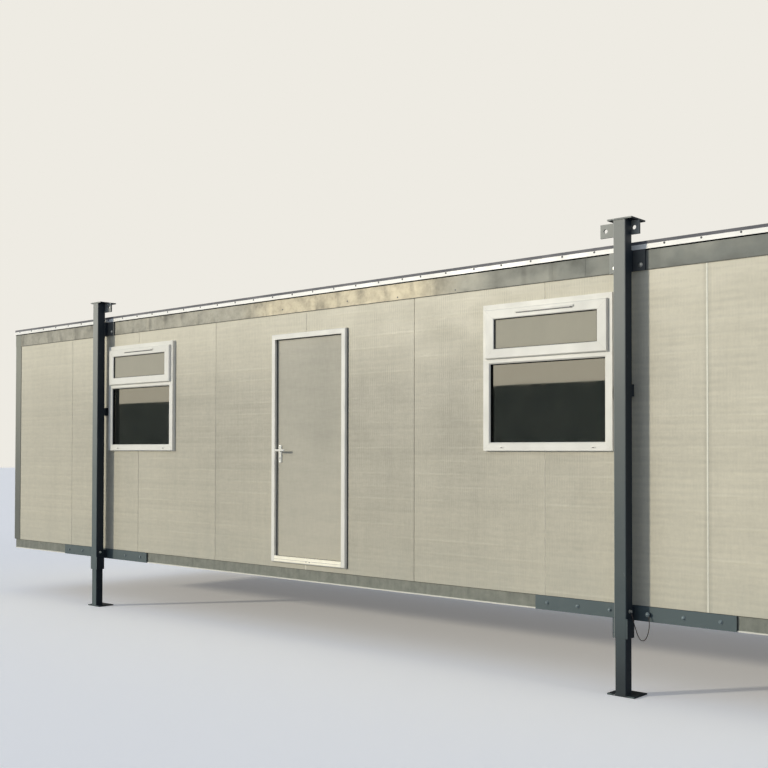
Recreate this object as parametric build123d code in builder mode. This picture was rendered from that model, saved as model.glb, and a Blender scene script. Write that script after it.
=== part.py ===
from build123d import *
from math import pi, radians, tan
import os

# Portable site cabin on four jack legs, standing on level ground.
# Frame: origin on the ground under the middle of the cabin, +Z up, +X along the
# cabin's length, +Y from the door wall to the plain back wall.

# ---------------------------------------------------------------- dimensions (mm)
# Overall body
LENGTH = 9800.0            # over the corner trims
WIDTH = 3100.0             # over the front and back panels
PANEL_T = 50.0             # insulated wall panels

# Heights above the ground
RAIL_Z = 486.0             # underside of the base rail
RAIL_H = 100.0             # height of the base rail
WALL_SEAT = 2.0            # packing between the rail and the wall panels
FLOOR_T = 22.0             # floor deck
WALL_H = 2225.0            # wall that shows between rail and top channel
FASCIA_H = 141.0           # top channel
STRIP_H = 30.0             # white batten over the top channel
COVER_EDGE_H = 22.0        # turned-down edge of the roof covering
ROOF_T = 84.0              # roof panel at the eaves
ROOF_FALL = 25.0           # crown of the roof over its edges

# Panel seams: shallow grooves, one every four feet on the long walls
SEAM_PITCH = 1219.2
SEAM_FIRST = 1188.2        # left corner to the first seam
SEAM_W = 7.0
SEAM_D = 4.0
END_SEAM_PITCH = 1033.0
END_SEAM_COUNT = 2

# Corner trims, folded from sheet
TRIM_T = 3.0
TRIM_W = 110.0

# Base rail: rolled channel with a small round lip along its foot
RAIL_SET = 10.0            # web stands this far behind the panel face
RAIL_FLANGE = 50.0
RAIL_T = 6.0
LIP_D = 5.0
LIP_H = 8.0

# Floor ribs
RIB_W = 60.0
RIB_H = 90.0
RIB_COUNT = 17

# Top channel, batten and covering
FASCIA_T = 3.0
STRIP_D = 13.0
COVER_D = 11.0             # covering over the face of the batten's panel line

# Windows, both the same
WIN_X = {"left": -2435.0, "right": 2403.0}
WIN_W = 1080.0
WIN_H = 1075.0
WIN_SILL = 1025.0          # wall under the window
WIN_PROUD = 30.0           # frame face in front of the panels
WIN_FACE = 60.0            # face width of the frame members
WIN_BEVEL = 9.0
TRANSOM_UP = 637.0         # lower edge of the transom over the frame's foot
TRANSOM_H = 40.0
PANE_IN = 24.0             # glass behind the frame face
GLASS_T = 24.0
SASH_LAP = 30.0            # sash face over the frame on each side
SASH_FACE = 80.0
SASH_DROP = 72.0           # face height of the sash rails
SASH_UP = 2.0              # sash foot below the transom's upper edge
SASH_H = 361.0
SASH_T = 20.0
SASH_BACK = 36.0           # sash depth inside the frame
SASH_CLEAR = 8.0
SASH_GAP = 0.5
SASH_BEVEL = 6.0
SASH_GLASS_IN = 14.0

# Doorway
DOOR_X = -14.0             # middle of the door set
DOOR_W = 910.0
DOOR_H = 2004.0
DOOR_STEP = 45.0           # strip of wall under the frame
DOOR_PROUD = 28.0          # frame face in front of the panels
DOOR_FACE = 46.0           # face width of the frame
DOOR_BEVEL = 3.0
DOOR_REBATE = 31.0         # frame width behind the stop
DOOR_SILL = 52.0
DOOR_SILL_BACK = 8.0
LEAF_IN = 2.0              # leaf face behind the panel face
LEAF_T = 48.0
LEAF_GAP = 8.0             # leaf clear of the frame round its edges
SEAL_GAP = 5.0             # leaf clear of the stop in front of it

# Hinges, inside the room on the right-hand jamb
HINGE_FOOT = 230.0         # lowest hinge over the frame's foot
HINGE_HEAD = 254.0         # foot of the top hinge under the frame's head
PIN_D = 10.0
PIN_PLAY = 0.15
KNUCKLE_D = 18.0
KNUCKLE_L = 45.0
KNUCKLE_GAP = 0.3
KNUCKLE_OFF = 1.0          # knuckles clear of the leaf's inner face
FLAP_T = 8.0
FLAP_W = 34.0

# Lever handle on long backplates
LEVER_BACK = 54.0          # spindle from the leaf's free edge
LEVER_UP = 981.0           # spindle over the frame's foot
LEVER_LEN = 110.0          # spindle to the lever's tip
LEVER_STAND = 55.0         # back of the grip from the leaf
LEVER_T = 10.0
LEVER_H = 17.0
LEVER_EDGE = 2.0
SPINDLE_D = 15.0
SPINDLE_PLAY = 0.75
PLATE_W = 36.0
PLATE_H = 156.0
PLATE_UP = 47.0            # plate top over the spindle
PLATE_T = 9.0
PLATE_R = 8.0

# Jack legs: square outer post, square inner leg
POST_IN = 1840.0           # middle of the post from the end of the cabin
POST_W = 90.0
POST_WALL = 4.0
POST_R = 8.0
LEG_PLAY = 1.0             # leg clear of the post's bore on each side
LEG_WALL = 4.0
LEG_R = 7.0
POST_REACH = 142.0         # post face in front of the panels
POST_FOOT = 106.0          # post below the underside of the rail
GUIDE_H = 40.0             # guide band inside the post's foot
GUIDE_GAP = 0.3            # leg clear of the guide band
CHEEK_T = 10.0
CHEEK_H = 130.0
CAP_RISE = 139.0           # underside of the top plate over the roof edge
CAP_T = 10.0
CAP_W = 182.0
CAP_D = 190.0
LEG_H = 1430.0
FOOT_W = 200.0
FOOT_D = 175.0
FOOT_T = 10.0
FOOT_LIP = 3.0             # foot plate in front of the post face
FOOT_SHIFT = 4.0

# Lifting plates across the backs of the post tops
LIFT_W = 294.0
LIFT_H = 93.0
LIFT_T = 12.0
LIFT_HOLE = 30.0
LIFT_PITCH = 214.0
LIFT_SHIFT_FR = -46.0      # the front right plate is set off inboard

# Post fixings: bracket on the top channel, spacer at mid height, spreader on the rail
BRACKET_W = 268.0
BRACKET_T = 10.0
BRACKET_SHIFT = 13.0       # bracket centre inboard of the post
BRACKET_LAP = 1.0          # bracket foot below the top channel
SPACER_W = 60.0
SPACER_H = 80.0
SPACER_UP = 1490.0         # mid spacer over the rail's underside
SPREADER_SHIFT = {"left": -25.0, "right": -10.0}
SPREADER_W = 1490.0
SPREADER_T = 8.0

# Locking pin through post and leg, and the bolt that its lanyard is tied to
LOCK_UP = 70.0             # pin over the rail's underside
LOCK_D = 16.0              # over the corners of the pin's hexagonal ends
LOCK_SIDES = 6
LOCK_HEAD = 18.0
ANCHOR_X = 145.0           # bolt from the middle of the spreader
ANCHOR_D = 24.0
ANCHOR_L = 20.0

# Lanyard of the front right pin: route of its centre line
CORD_D = 6.0
CORD_ROUTE = [
    (3118.0, -1647.0, 551.0),
    (3130.0, -1641.0, 494.0),
    (3145.0, -1632.0, 432.0),
    (3157.0, -1622.0, 388.0),
    (3173.0, -1614.0, 366.0),
    (3196.0, -1606.0, 371.0),
    (3212.0, -1596.0, 410.0),
    (3217.0, -1581.0, 478.0),
    (3200.0, -1567.0, 529.0),
]

# ---------------------------------------------------------------- derived
X_OUT = LENGTH / 2 - TRIM_T              # outer faces of the panels
Y_OUT = WIDTH / 2
X_IN = X_OUT - PANEL_T
Y_IN = Y_OUT - PANEL_T
RAIL_X = X_OUT - RAIL_SET                # outer faces of the rail web
RAIL_Y = Y_OUT - RAIL_SET
DECK_Z = RAIL_Z + RAIL_H                 # underside of the floor deck
WALL_Z = DECK_Z + WALL_SEAT
FASCIA_Z = WALL_Z + WALL_H
STRIP_Z = FASCIA_Z + FASCIA_H
EAVES_Z = STRIP_Z + STRIP_H
ROOF_Z = EAVES_Z - ROOF_T                # ceiling
EDGE_TOP = EAVES_Z + COVER_EDGE_H
WIN_Z = WALL_Z + WIN_SILL
WIN_Y = -Y_OUT - WIN_PROUD               # face of the window frames
DOOR_Z = WALL_Z + DOOR_STEP
DOOR_X0 = DOOR_X - DOOR_W / 2
DOOR_X1 = DOOR_X + DOOR_W / 2
POST_X = LENGTH / 2 - POST_IN
POST_Y = Y_OUT + POST_REACH - POST_W / 2
POST_Z = RAIL_Z - POST_FOOT
LEG_W = POST_W - 2 * (POST_WALL + LEG_PLAY)
CAP_Z = EDGE_TOP + CAP_RISE

os.makedirs("parts", exist_ok=True)


def save(piece, name):
    """Label one finished piece and write it as its own file."""
    piece.part.label = name
    export_step(piece.part, f"parts/{name}.step")


def rect(u0, u1, v0, v1, mode=Mode.ADD):
    """Rectangle between two corners, in the sketch being drawn."""
    with Locations(((u0 + u1) / 2, (v0 + v1) / 2)):
        Rectangle(abs(u1 - u0), abs(v1 - v0), mode=mode)


def square_tube(x, y, width, wall, radius, z0, z1):
    """Upright square hollow section with rounded outer corners, round (x, y)."""
    with BuildSketch(Plane.XY.offset(z0)) as section:
        with Locations((x, y)):
            RectangleRounded(width, width, radius)
            Rectangle(width - 2 * wall, width - 2 * wall, mode=Mode.SUBTRACT)
    extrude(section.sketch, amount=z1 - z0)


# ---------------------------------------------------------------- base and floor
# Channel profile carried round the four sides: web, two flanges inwards, foot lip.
with BuildPart() as base_frame:
    with BuildLine() as rail_path:
        Polyline((0, -RAIL_Y, RAIL_Z), (RAIL_X, -RAIL_Y, RAIL_Z), (RAIL_X, RAIL_Y, RAIL_Z),
                 (-RAIL_X, RAIL_Y, RAIL_Z), (-RAIL_X, -RAIL_Y, RAIL_Z), close=True)
    with BuildSketch(Plane(origin=(0, -RAIL_Y, RAIL_Z), x_dir=(0, 1, 0), z_dir=(1, 0, 0))):
        rect(0, RAIL_FLANGE, 0, RAIL_H)
        rect(RAIL_T, RAIL_FLANGE + 1, RAIL_T, RAIL_H - RAIL_T, mode=Mode.SUBTRACT)
        rect(-LIP_D, RAIL_T, 0, LIP_H)
    sweep(transition=Transition.RIGHT)
save(base_frame, "base_frame")

# Timber floor: deck on cross ribs that stand inside the channel.
with BuildPart() as floor:
    with BuildSketch(Plane.XY.offset(DECK_Z)):
        Rectangle(2 * X_IN, 2 * Y_IN)
    extrude(amount=FLOOR_T)
    rib_pitch = (2 * (RAIL_X - RAIL_FLANGE) - RIB_W) / (RIB_COUNT - 1)
    with BuildSketch(Plane.XY.offset(DECK_Z)):
        with GridLocations(rib_pitch, 1, RIB_COUNT, 1):
            Rectangle(RIB_W, 2 * (RAIL_Y - RAIL_FLANGE))
    extrude(amount=-RIB_H)
save(floor, "floor")

# ---------------------------------------------------------------- walls
SEAM_RUN = 2 * X_OUT - SEAM_FIRST - TRIM_W       # first seam to the right corner trim
SEAMS = [-X_OUT + SEAM_FIRST + i * SEAM_PITCH for i in range(int(SEAM_RUN // SEAM_PITCH) + 1)]
END_SEAMS = [(i - (END_SEAM_COUNT - 1) / 2) * END_SEAM_PITCH for i in range(END_SEAM_COUNT)]


def cut_seams(places, turn):
    """V-grooves down the outer face at the given (x, y) points of that face."""
    with BuildSketch(Plane.XY.offset(WALL_Z)) as grooves:
        with Locations(*[Location((x, y, 0), (0, 0, turn)) for x, y in places]):
            Polygon((-SEAM_W / 2, 0), (SEAM_W / 2, 0), (0, SEAM_D), align=None)
    extrude(grooves.sketch, amount=ROOF_Z - WALL_Z, mode=Mode.SUBTRACT)


def front_wall(x0, x1, z0, windows=()):
    """Stretch of the door wall from z0 up, with window openings and seams cut."""
    with BuildSketch(Plane.XZ.offset(Y_IN)) as outline:
        rect(x0, x1, z0, ROOF_Z)
        for xc in windows:
            rect(xc - WIN_W / 2, xc + WIN_W / 2, WIN_Z, WIN_Z + WIN_H, mode=Mode.SUBTRACT)
    extrude(outline.sketch, amount=PANEL_T)
    places = [(x, -Y_OUT) for x in SEAMS if x0 < x < x1]
    if places:
        cut_seams(places, 0)


with BuildPart() as front_wall_left:
    front_wall(-X_OUT, DOOR_X0, WALL_Z, [WIN_X["left"]])
save(front_wall_left, "front_wall_left")

with BuildPart() as front_wall_right:
    front_wall(DOOR_X1, X_OUT, WALL_Z, [WIN_X["right"]])
save(front_wall_right, "front_wall_right")

with BuildPart() as front_wall_head:
    front_wall(DOOR_X0, DOOR_X1, DOOR_Z + DOOR_H)
save(front_wall_head, "front_wall_head")

with BuildPart() as door_sill:
    with BuildSketch(Plane.XZ.offset(Y_IN)):
        rect(DOOR_X0, DOOR_X1, WALL_Z, DOOR_Z)
    extrude(amount=PANEL_T)
save(door_sill, "door_sill")

with BuildPart() as back_wall:
    with BuildSketch(Plane.XZ.offset(-Y_OUT)):
        rect(-X_OUT, X_OUT, WALL_Z, ROOF_Z)
    extrude(amount=PANEL_T)
    cut_seams([(x, Y_OUT) for x in SEAMS], 180)
save(back_wall, "back_wall")

for name, sx in (("end_wall_left", -1), ("end_wall_right", 1)):
    with BuildPart() as end_wall:
        with BuildSketch(Plane.YZ.offset(sx * X_IN)):
            rect(-Y_IN, Y_IN, WALL_Z, ROOF_Z)
        extrude(amount=sx * PANEL_T)
        cut_seams([(sx * X_OUT, y) for y in END_SEAMS], sx * 90)
    save(end_wall, name)

# Folded sheet angles over the four corners, below the top channel.
for name, sx, sy in (("corner_trim_fl", -1, -1), ("corner_trim_fr", 1, -1),
                     ("corner_trim_bl", -1, 1), ("corner_trim_br", 1, 1)):
    with BuildPart() as corner_trim:
        with BuildSketch(Plane.XY.offset(WALL_Z)):
            rect(sx * (X_OUT - TRIM_W), sx * (X_OUT + TRIM_T),
                 sy * (Y_OUT - TRIM_W), sy * (Y_OUT + TRIM_T))
            rect(sx * (X_OUT - TRIM_W), sx * X_OUT,
                 sy * (Y_OUT - TRIM_W), sy * Y_OUT, mode=Mode.SUBTRACT)
        extrude(amount=FASCIA_Z - WALL_Z)
    save(corner_trim, name)

# ---------------------------------------------------------------- top edge and roof
with BuildPart() as fascia:
    with BuildSketch(Plane.XY.offset(FASCIA_Z)):
        Rectangle(2 * (X_OUT + FASCIA_T), 2 * (Y_OUT + FASCIA_T))
        Rectangle(2 * X_OUT, 2 * Y_OUT, mode=Mode.SUBTRACT)
    extrude(amount=FASCIA_H)
save(fascia, "fascia")

with BuildPart() as edge_batten:
    with BuildSketch(Plane.XY.offset(STRIP_Z)):
        Rectangle(2 * (X_OUT + STRIP_D), 2 * (Y_OUT + STRIP_D))
        Rectangle(2 * X_OUT, 2 * Y_OUT, mode=Mode.SUBTRACT)
    extrude(amount=STRIP_H)
save(edge_batten, "edge_batten")

# Roof panel with a slight crown, drawn as its cross-section.
with BuildPart() as roof:
    with BuildSketch(Plane.YZ):
        Polygon((-Y_OUT, ROOF_Z), (Y_OUT, ROOF_Z), (Y_OUT, EAVES_Z),
                (0, EAVES_Z + ROOF_FALL), (-Y_OUT, EAVES_Z), align=None)
    extrude(amount=X_OUT, both=True)
save(roof, "roof")

# Covering that follows the crown and closes the edges over the batten.
COVER_Y = Y_OUT + COVER_D
with BuildPart() as roof_cover:
    with BuildSketch(Plane.YZ):
        Polygon((-COVER_Y, EAVES_Z), (-Y_OUT, EAVES_Z), (0, EAVES_Z + ROOF_FALL),
                (Y_OUT, EAVES_Z), (COVER_Y, EAVES_Z), (COVER_Y, EDGE_TOP),
                (0, EDGE_TOP + ROOF_FALL), (-COVER_Y, EDGE_TOP), align=None)
    extrude(amount=X_OUT + COVER_D, both=True)
save(roof_cover, "roof_cover")

# ---------------------------------------------------------------- windows
CLEAR = WIN_W / 2 - WIN_FACE             # half width of the openings in the frame
LIGHT_Z0 = WIN_Z + TRANSOM_UP + TRANSOM_H
LIGHT_Z1 = WIN_Z + WIN_H - WIN_FACE
SASH_Z = LIGHT_Z0 - SASH_UP
SASH_Y = WIN_Y - SASH_GAP                # back of the sash face
SASH_GLASS_Y = SASH_Y - SASH_T + SASH_GLASS_IN
for side, xc in WIN_X.items():
    half_sash = CLEAR + SASH_LAP
    half_glass = half_sash - SASH_FACE

    # Outer frame with a transom between the fixed pane and the top-hung light.
    with BuildPart() as frame:
        with BuildSketch(Plane.XZ.offset(Y_IN)):
            rect(xc - WIN_W / 2, xc + WIN_W / 2, WIN_Z, WIN_Z + WIN_H)
            rect(xc - CLEAR, xc + CLEAR, WIN_Z + WIN_FACE, WIN_Z + TRANSOM_UP,
                 mode=Mode.SUBTRACT)
            rect(xc - CLEAR, xc + CLEAR, LIGHT_Z0, LIGHT_Z1, mode=Mode.SUBTRACT)
        extrude(amount=-Y_IN - WIN_Y)
        pane_wire = frame.faces().sort_by(Axis.Y)[0].inner_wires().sort_by(Axis.Z)[0]
        chamfer(pane_wire.edges(), WIN_BEVEL)
    save(frame, f"window_{side}_frame")

    with BuildPart() as pane:
        with BuildSketch(Plane.XZ.offset(-WIN_Y - PANE_IN)):
            rect(xc - CLEAR, xc + CLEAR, WIN_Z + WIN_FACE, WIN_Z + TRANSOM_UP)
        extrude(amount=-GLASS_T)
    save(pane, f"window_{side}_pane")

    # Top-hung light: face lapping over the frame, narrower body inside it.
    with BuildPart() as sash:
        with BuildSketch(Plane.XZ.offset(-SASH_Y)):
            rect(xc - half_sash, xc + half_sash, SASH_Z, SASH_Z + SASH_H)
        extrude(amount=SASH_T)
        chamfer(sash.faces().sort_by(Axis.Y)[0].outer_wire().edges(), SASH_BEVEL)
        with BuildSketch(Plane.XZ.offset(-SASH_Y)):
            rect(xc - CLEAR + SASH_CLEAR, xc + CLEAR - SASH_CLEAR,
                 LIGHT_Z0 + SASH_CLEAR, LIGHT_Z1 - SASH_CLEAR)
        extrude(amount=-SASH_BACK)
        with BuildSketch(Plane.XZ.offset(-SASH_Y + SASH_T)):
            rect(xc - half_glass, xc + half_glass,
                 SASH_Z + SASH_DROP, SASH_Z + SASH_H - SASH_DROP)
        extrude(amount=-2 * (SASH_T + SASH_BACK), both=True, mode=Mode.SUBTRACT)
        glass_wire = sash.faces().sort_by(Axis.Y)[0].inner_wires()[0]
        chamfer(glass_wire.edges(), SASH_BEVEL)
    save(sash, f"window_{side}_sash")

    with BuildPart() as sash_glass:
        with BuildSketch(Plane.XZ.offset(-SASH_GLASS_Y)):
            rect(xc - half_glass, xc + half_glass,
                 SASH_Z + SASH_DROP, SASH_Z + SASH_H - SASH_DROP)
        extrude(amount=-GLASS_T)
    save(sash_glass, f"window_{side}_sash_glass")

# ---------------------------------------------------------------- door
STOP_Y = -Y_OUT + LEAF_IN - SEAL_GAP     # back of the stops, in front of the leaf
LEAF_X0 = DOOR_X0 + DOOR_REBATE + LEAF_GAP
LEAF_X1 = DOOR_X1 - DOOR_REBATE - LEAF_GAP
LEAF_Y0 = -Y_OUT + LEAF_IN
LEAF_Y1 = LEAF_Y0 + LEAF_T
HINGE_X = DOOR_X1 - DOOR_REBATE - LEAF_GAP / 2
HINGE_Y = LEAF_Y1 + KNUCKLE_D / 2 + KNUCKLE_OFF
HINGE_TOP = DOOR_H - HINGE_HEAD
HINGE_UP = (HINGE_FOOT, (HINGE_FOOT + HINGE_TOP) / 2, HINGE_TOP)
LEVER_X = LEAF_X0 + LEVER_BACK
LEVER_Z = DOOR_Z + LEVER_UP

# Rebated frame with the fixed halves of the hinges and their pins.
with BuildPart() as door_frame:
    with BuildSketch(Plane.XZ.offset(Y_OUT + DOOR_PROUD)):
        rect(DOOR_X0, DOOR_X1, DOOR_Z, DOOR_Z + DOOR_H)
        rect(DOOR_X0 + DOOR_FACE, DOOR_X1 - DOOR_FACE,
             DOOR_Z + DOOR_SILL, DOOR_Z + DOOR_H - DOOR_FACE, mode=Mode.SUBTRACT)
    extrude(amount=-(STOP_Y + Y_OUT + DOOR_PROUD))
    chamfer(door_frame.faces().sort_by(Axis.Y)[0].outer_wire().edges(), DOOR_BEVEL)
    with BuildSketch(Plane.XZ.offset(-STOP_Y)):
        rect(DOOR_X0, DOOR_X1, DOOR_Z, DOOR_Z + DOOR_H)
        rect(DOOR_X0 + DOOR_REBATE, DOOR_X1 - DOOR_REBATE,
             DOOR_Z + DOOR_SILL_BACK, DOOR_Z + DOOR_H - DOOR_REBATE, mode=Mode.SUBTRACT)
    extrude(amount=-(-Y_IN - STOP_Y))
    for up in HINGE_UP:
        with BuildSketch(Plane.XY.offset(DOOR_Z + up)):
            with Locations((HINGE_X, HINGE_Y)):
                Circle(KNUCKLE_D / 2)
            rect(DOOR_X1 - DOOR_REBATE, DOOR_X1 - DOOR_REBATE + FLAP_T, -Y_IN, HINGE_Y)
        extrude(amount=KNUCKLE_L)
        with BuildSketch(Plane.XY.offset(DOOR_Z + up)):
            with Locations((HINGE_X, HINGE_Y)):
                Circle(PIN_D / 2)
        extrude(amount=2 * KNUCKLE_L)
save(door_frame, "door_frame")

# Flat leaf with the moving halves of the hinges on its inner face.
with BuildPart() as door_leaf:
    with BuildSketch(Plane.XZ.offset(-LEAF_Y1)):
        rect(LEAF_X0, LEAF_X1, DOOR_Z + DOOR_SILL_BACK + LEAF_GAP,
             DOOR_Z + DOOR_H - DOOR_REBATE - LEAF_GAP)
        with Locations((LEVER_X, LEVER_Z)):
            Circle(SPINDLE_D / 2 + SPINDLE_PLAY, mode=Mode.SUBTRACT)
    extrude(amount=LEAF_T)
    for up in HINGE_UP:
        with BuildSketch(Plane.XY.offset(DOOR_Z + up + KNUCKLE_L + KNUCKLE_GAP)):
            with Locations((HINGE_X, HINGE_Y)):
                Circle(KNUCKLE_D / 2)
            rect(HINGE_X - FLAP_W, HINGE_X, LEAF_Y1, LEAF_Y1 + FLAP_T)
            with Locations((HINGE_X, HINGE_Y)):
                Circle(PIN_D / 2 + PIN_PLAY, mode=Mode.SUBTRACT)
        extrude(amount=KNUCKLE_L)
save(door_leaf, "door_leaf")

# Long backplates, one on each face of the leaf, with clear spindle holes.
for name, leaf_face, toward in (("handle_plate_outer", LEAF_Y0, 1),
                                ("handle_plate_inner", LEAF_Y1, -1)):
    with BuildPart() as handle_plate:
        with BuildSketch(Plane.XZ.offset(-leaf_face)):
            with Locations((LEVER_X, LEVER_Z + PLATE_UP - PLATE_H / 2)):
                RectangleRounded(PLATE_W, PLATE_H, PLATE_R)
            with Locations((LEVER_X, LEVER_Z)):
                Circle(SPINDLE_D / 2 + SPINDLE_PLAY, mode=Mode.SUBTRACT)
        extrude(amount=toward * PLATE_T)
    save(handle_plate, name)

# Spindle through the leaf with a flat round-ended grip on each end.
with BuildPart() as door_lever:
    y_out = LEAF_Y0 - LEVER_STAND
    y_in = LEAF_Y1 + LEVER_STAND
    for y_grip, toward in ((y_out, 1), (y_in, -1)):
        with BuildSketch(Plane.XZ.offset(-y_grip)):
            with Locations((LEVER_X + (LEVER_LEN - LEVER_H / 2) / 2, LEVER_Z)):
                SlotCenterToCenter(LEVER_LEN - LEVER_H / 2, LEVER_H)
        extrude(amount=toward * LEVER_T)
    chamfer(door_lever.faces().sort_by(Axis.Y)[0].edges(), LEVER_EDGE)
    chamfer(door_lever.faces().sort_by(Axis.Y)[-1].edges(), LEVER_EDGE)
    with BuildSketch(Plane.XZ.offset(-y_in)):
        with Locations((LEVER_X, LEVER_Z)):
            Circle(SPINDLE_D / 2)
    extrude(amount=y_in - y_out)
save(door_lever, "door_lever")

# ---------------------------------------------------------------- jack legs
for tag, sx, sy in (("fl", -1, -1), ("fr", 1, -1), ("bl", -1, 1), ("br", 1, 1)):
    xc, yc = sx * POST_X, sy * POST_Y
    y_front = sy * (Y_OUT + POST_REACH)              # outward face of the post
    y_rear = sy * (Y_OUT + POST_REACH - POST_W)      # face towards the cabin
    y_fascia = sy * (Y_OUT + FASCIA_T)
    y_web = sy * RAIL_Y
    y_spreader = sy * (RAIL_Y + LIP_D)               # spreader clears the rail's lip
    spread_x = xc + SPREADER_SHIFT["left" if sx < 0 else "right"]
    bracket_x = xc - sx * BRACKET_SHIFT

    # Outer post: tube, guide band, cheeks, top plate, stand-offs and locking pin.
    with BuildPart() as post:
        square_tube(xc, yc, POST_W, POST_WALL, POST_R, POST_Z, CAP_Z)
        with BuildSketch(Plane.XY.offset(POST_Z)):
            with Locations((xc, yc)):
                Rectangle(POST_W - 2 * POST_WALL, POST_W - 2 * POST_WALL)
                Rectangle(LEG_W + 2 * GUIDE_GAP, LEG_W + 2 * GUIDE_GAP, mode=Mode.SUBTRACT)
        extrude(amount=GUIDE_H)
        with BuildSketch(Plane.XY.offset(POST_Z)):
            with Locations((xc, yc)):
                with GridLocations(POST_W + CHEEK_T - POST_WALL, 1, 2, 1):
                    Rectangle(CHEEK_T + POST_WALL, POST_W)
        extrude(amount=CHEEK_H)
        with BuildSketch(Plane.XY.offset(CAP_Z)):
            rect(xc - CAP_W / 2, xc + CAP_W / 2, y_front, y_front - sy * CAP_D)
        extrude(amount=CAP_T)
        with BuildSketch(Plane.XZ.offset(-y_fascia)):
            rect(bracket_x - BRACKET_W / 2, bracket_x + BRACKET_W / 2,
                 FASCIA_Z - BRACKET_LAP, STRIP_Z - BRACKET_LAP)
        extrude(amount=-sy * BRACKET_T)
        with BuildSketch(Plane.XZ.offset(-y_rear)):
            rect(xc - SPACER_W / 2, xc + SPACER_W / 2,
                 FASCIA_Z - BRACKET_LAP, STRIP_Z - BRACKET_LAP)
        extrude(amount=sy * (abs(y_rear) - abs(y_fascia)))
        with BuildSketch(Plane.XZ.offset(-y_rear)):
            rect(xc - SPACER_W / 2, xc + SPACER_W / 2,
                 RAIL_Z + SPACER_UP, RAIL_Z + SPACER_UP + SPACER_H)
        extrude(amount=sy * (abs(y_rear) - Y_OUT))
        with BuildSketch(Plane.XZ.offset(-y_rear)):
            rect(xc - SPACER_W / 2, xc + SPACER_W / 2,
                 RAIL_Z + (RAIL_H - SPACER_H) / 2, RAIL_Z + (RAIL_H + SPACER_H) / 2)
        extrude(amount=sy * (abs(y_rear) - abs(y_spreader) - SPREADER_T))
        for side in (-1, 1):
            with BuildSketch(Plane.YZ.offset(xc + side * POST_W / 2)):
                with Locations((yc, RAIL_Z + LOCK_UP)):
                    RegularPolygon(LOCK_D / 2, LOCK_SIDES)
            extrude(amount=side * LOCK_HEAD)
    save(post, f"jack_post_{tag}")

    # Lifting plate, one hole each side of the post.
    shift = LIFT_SHIFT_FR if tag == "fr" else 0.0
    with BuildPart() as lift_plate:
        with BuildSketch(Plane.XZ.offset(-y_rear)):
            with Locations((xc + shift, CAP_Z - LIFT_H / 2)):
                Rectangle(LIFT_W, LIFT_H)
                with GridLocations(LIFT_PITCH, 1, 2, 1):
                    Circle(LIFT_HOLE / 2, mode=Mode.SUBTRACT)
        extrude(amount=sy * LIFT_T)
    save(lift_plate, f"lifting_plate_{tag}")

    # Spreader bar bolted along the base rail.
    with BuildPart() as spreader:
        with BuildSketch(Plane.XZ.offset(-y_spreader)):
            rect(spread_x - SPREADER_W / 2, spread_x + SPREADER_W / 2, RAIL_Z, RAIL_Z + RAIL_H)
        extrude(amount=-sy * SPREADER_T)
        if tag == "fr":
            with BuildSketch(Plane.XZ.offset(-y_spreader)):
                with Locations((spread_x + ANCHOR_X, RAIL_Z + RAIL_H / 2)):
                    Circle(ANCHOR_D / 2)
            extrude(amount=SPREADER_T + ANCHOR_L)
    save(spreader, f"spreader_{tag}")

    # Inner leg: square tube on a flat foot plate.
    with BuildPart() as leg:
        square_tube(xc, yc, LEG_W, LEG_WALL, LEG_R, 0, LEG_H)
        y_lip = y_front + sy * FOOT_LIP
        with BuildSketch():
            rect(xc + FOOT_SHIFT - FOOT_W / 2, xc + FOOT_SHIFT + FOOT_W / 2,
                 y_lip, y_lip - sy * FOOT_D)
        extrude(amount=FOOT_T)
    save(leg, f"jack_leg_{tag}")

# ---------------------------------------------------------------- pin lanyard
# Straight runs joined by arcs as large as the runs allow.
route = [Vector(*point) for point in CORD_ROUTE]
radii = []
for before, corner, after in zip(route, route[1:], route[2:]):
    turn = (corner - before).get_angle(after - corner)
    shorter = min((corner - before).length, (after - corner).length)
    radii.append(0.45 * shorter / tan(radians(turn / 2)))
print("lanyard radii", [round(radius, 1) for radius in radii])

with BuildPart() as pin_lanyard:
    with BuildLine() as cord_path:
        FilletPolyline(*route, radius=radii)
    with BuildSketch(Plane(origin=route[0], z_dir=(route[1] - route[0]).normalized())):
        Circle(CORD_D / 2)
    sweep()
cord_length = sum(edge.length for edge in cord_path.edges())
print("lanyard length", round(cord_length, 1), "volume", round(pin_lanyard.part.volume, 1),
      "section times length", round(cord_length * pi * CORD_D**2 / 4, 1))
save(pin_lanyard, "pin_lanyard")
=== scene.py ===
"""Portable site cabin on four jack legs: finishes, small parts, light and camera.

Everything is in metres in the cabin's own frame: the origin is on the ground under the
middle of the cabin, X runs along its length, Y from the door wall to the plain back wall
and Z up.
"""
import logging
import math
from dataclasses import dataclass
from enum import Enum
from functools import reduce
from typing import Sequence

import bmesh
import bpy
from mathutils import Euler, Matrix, Vector


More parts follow.
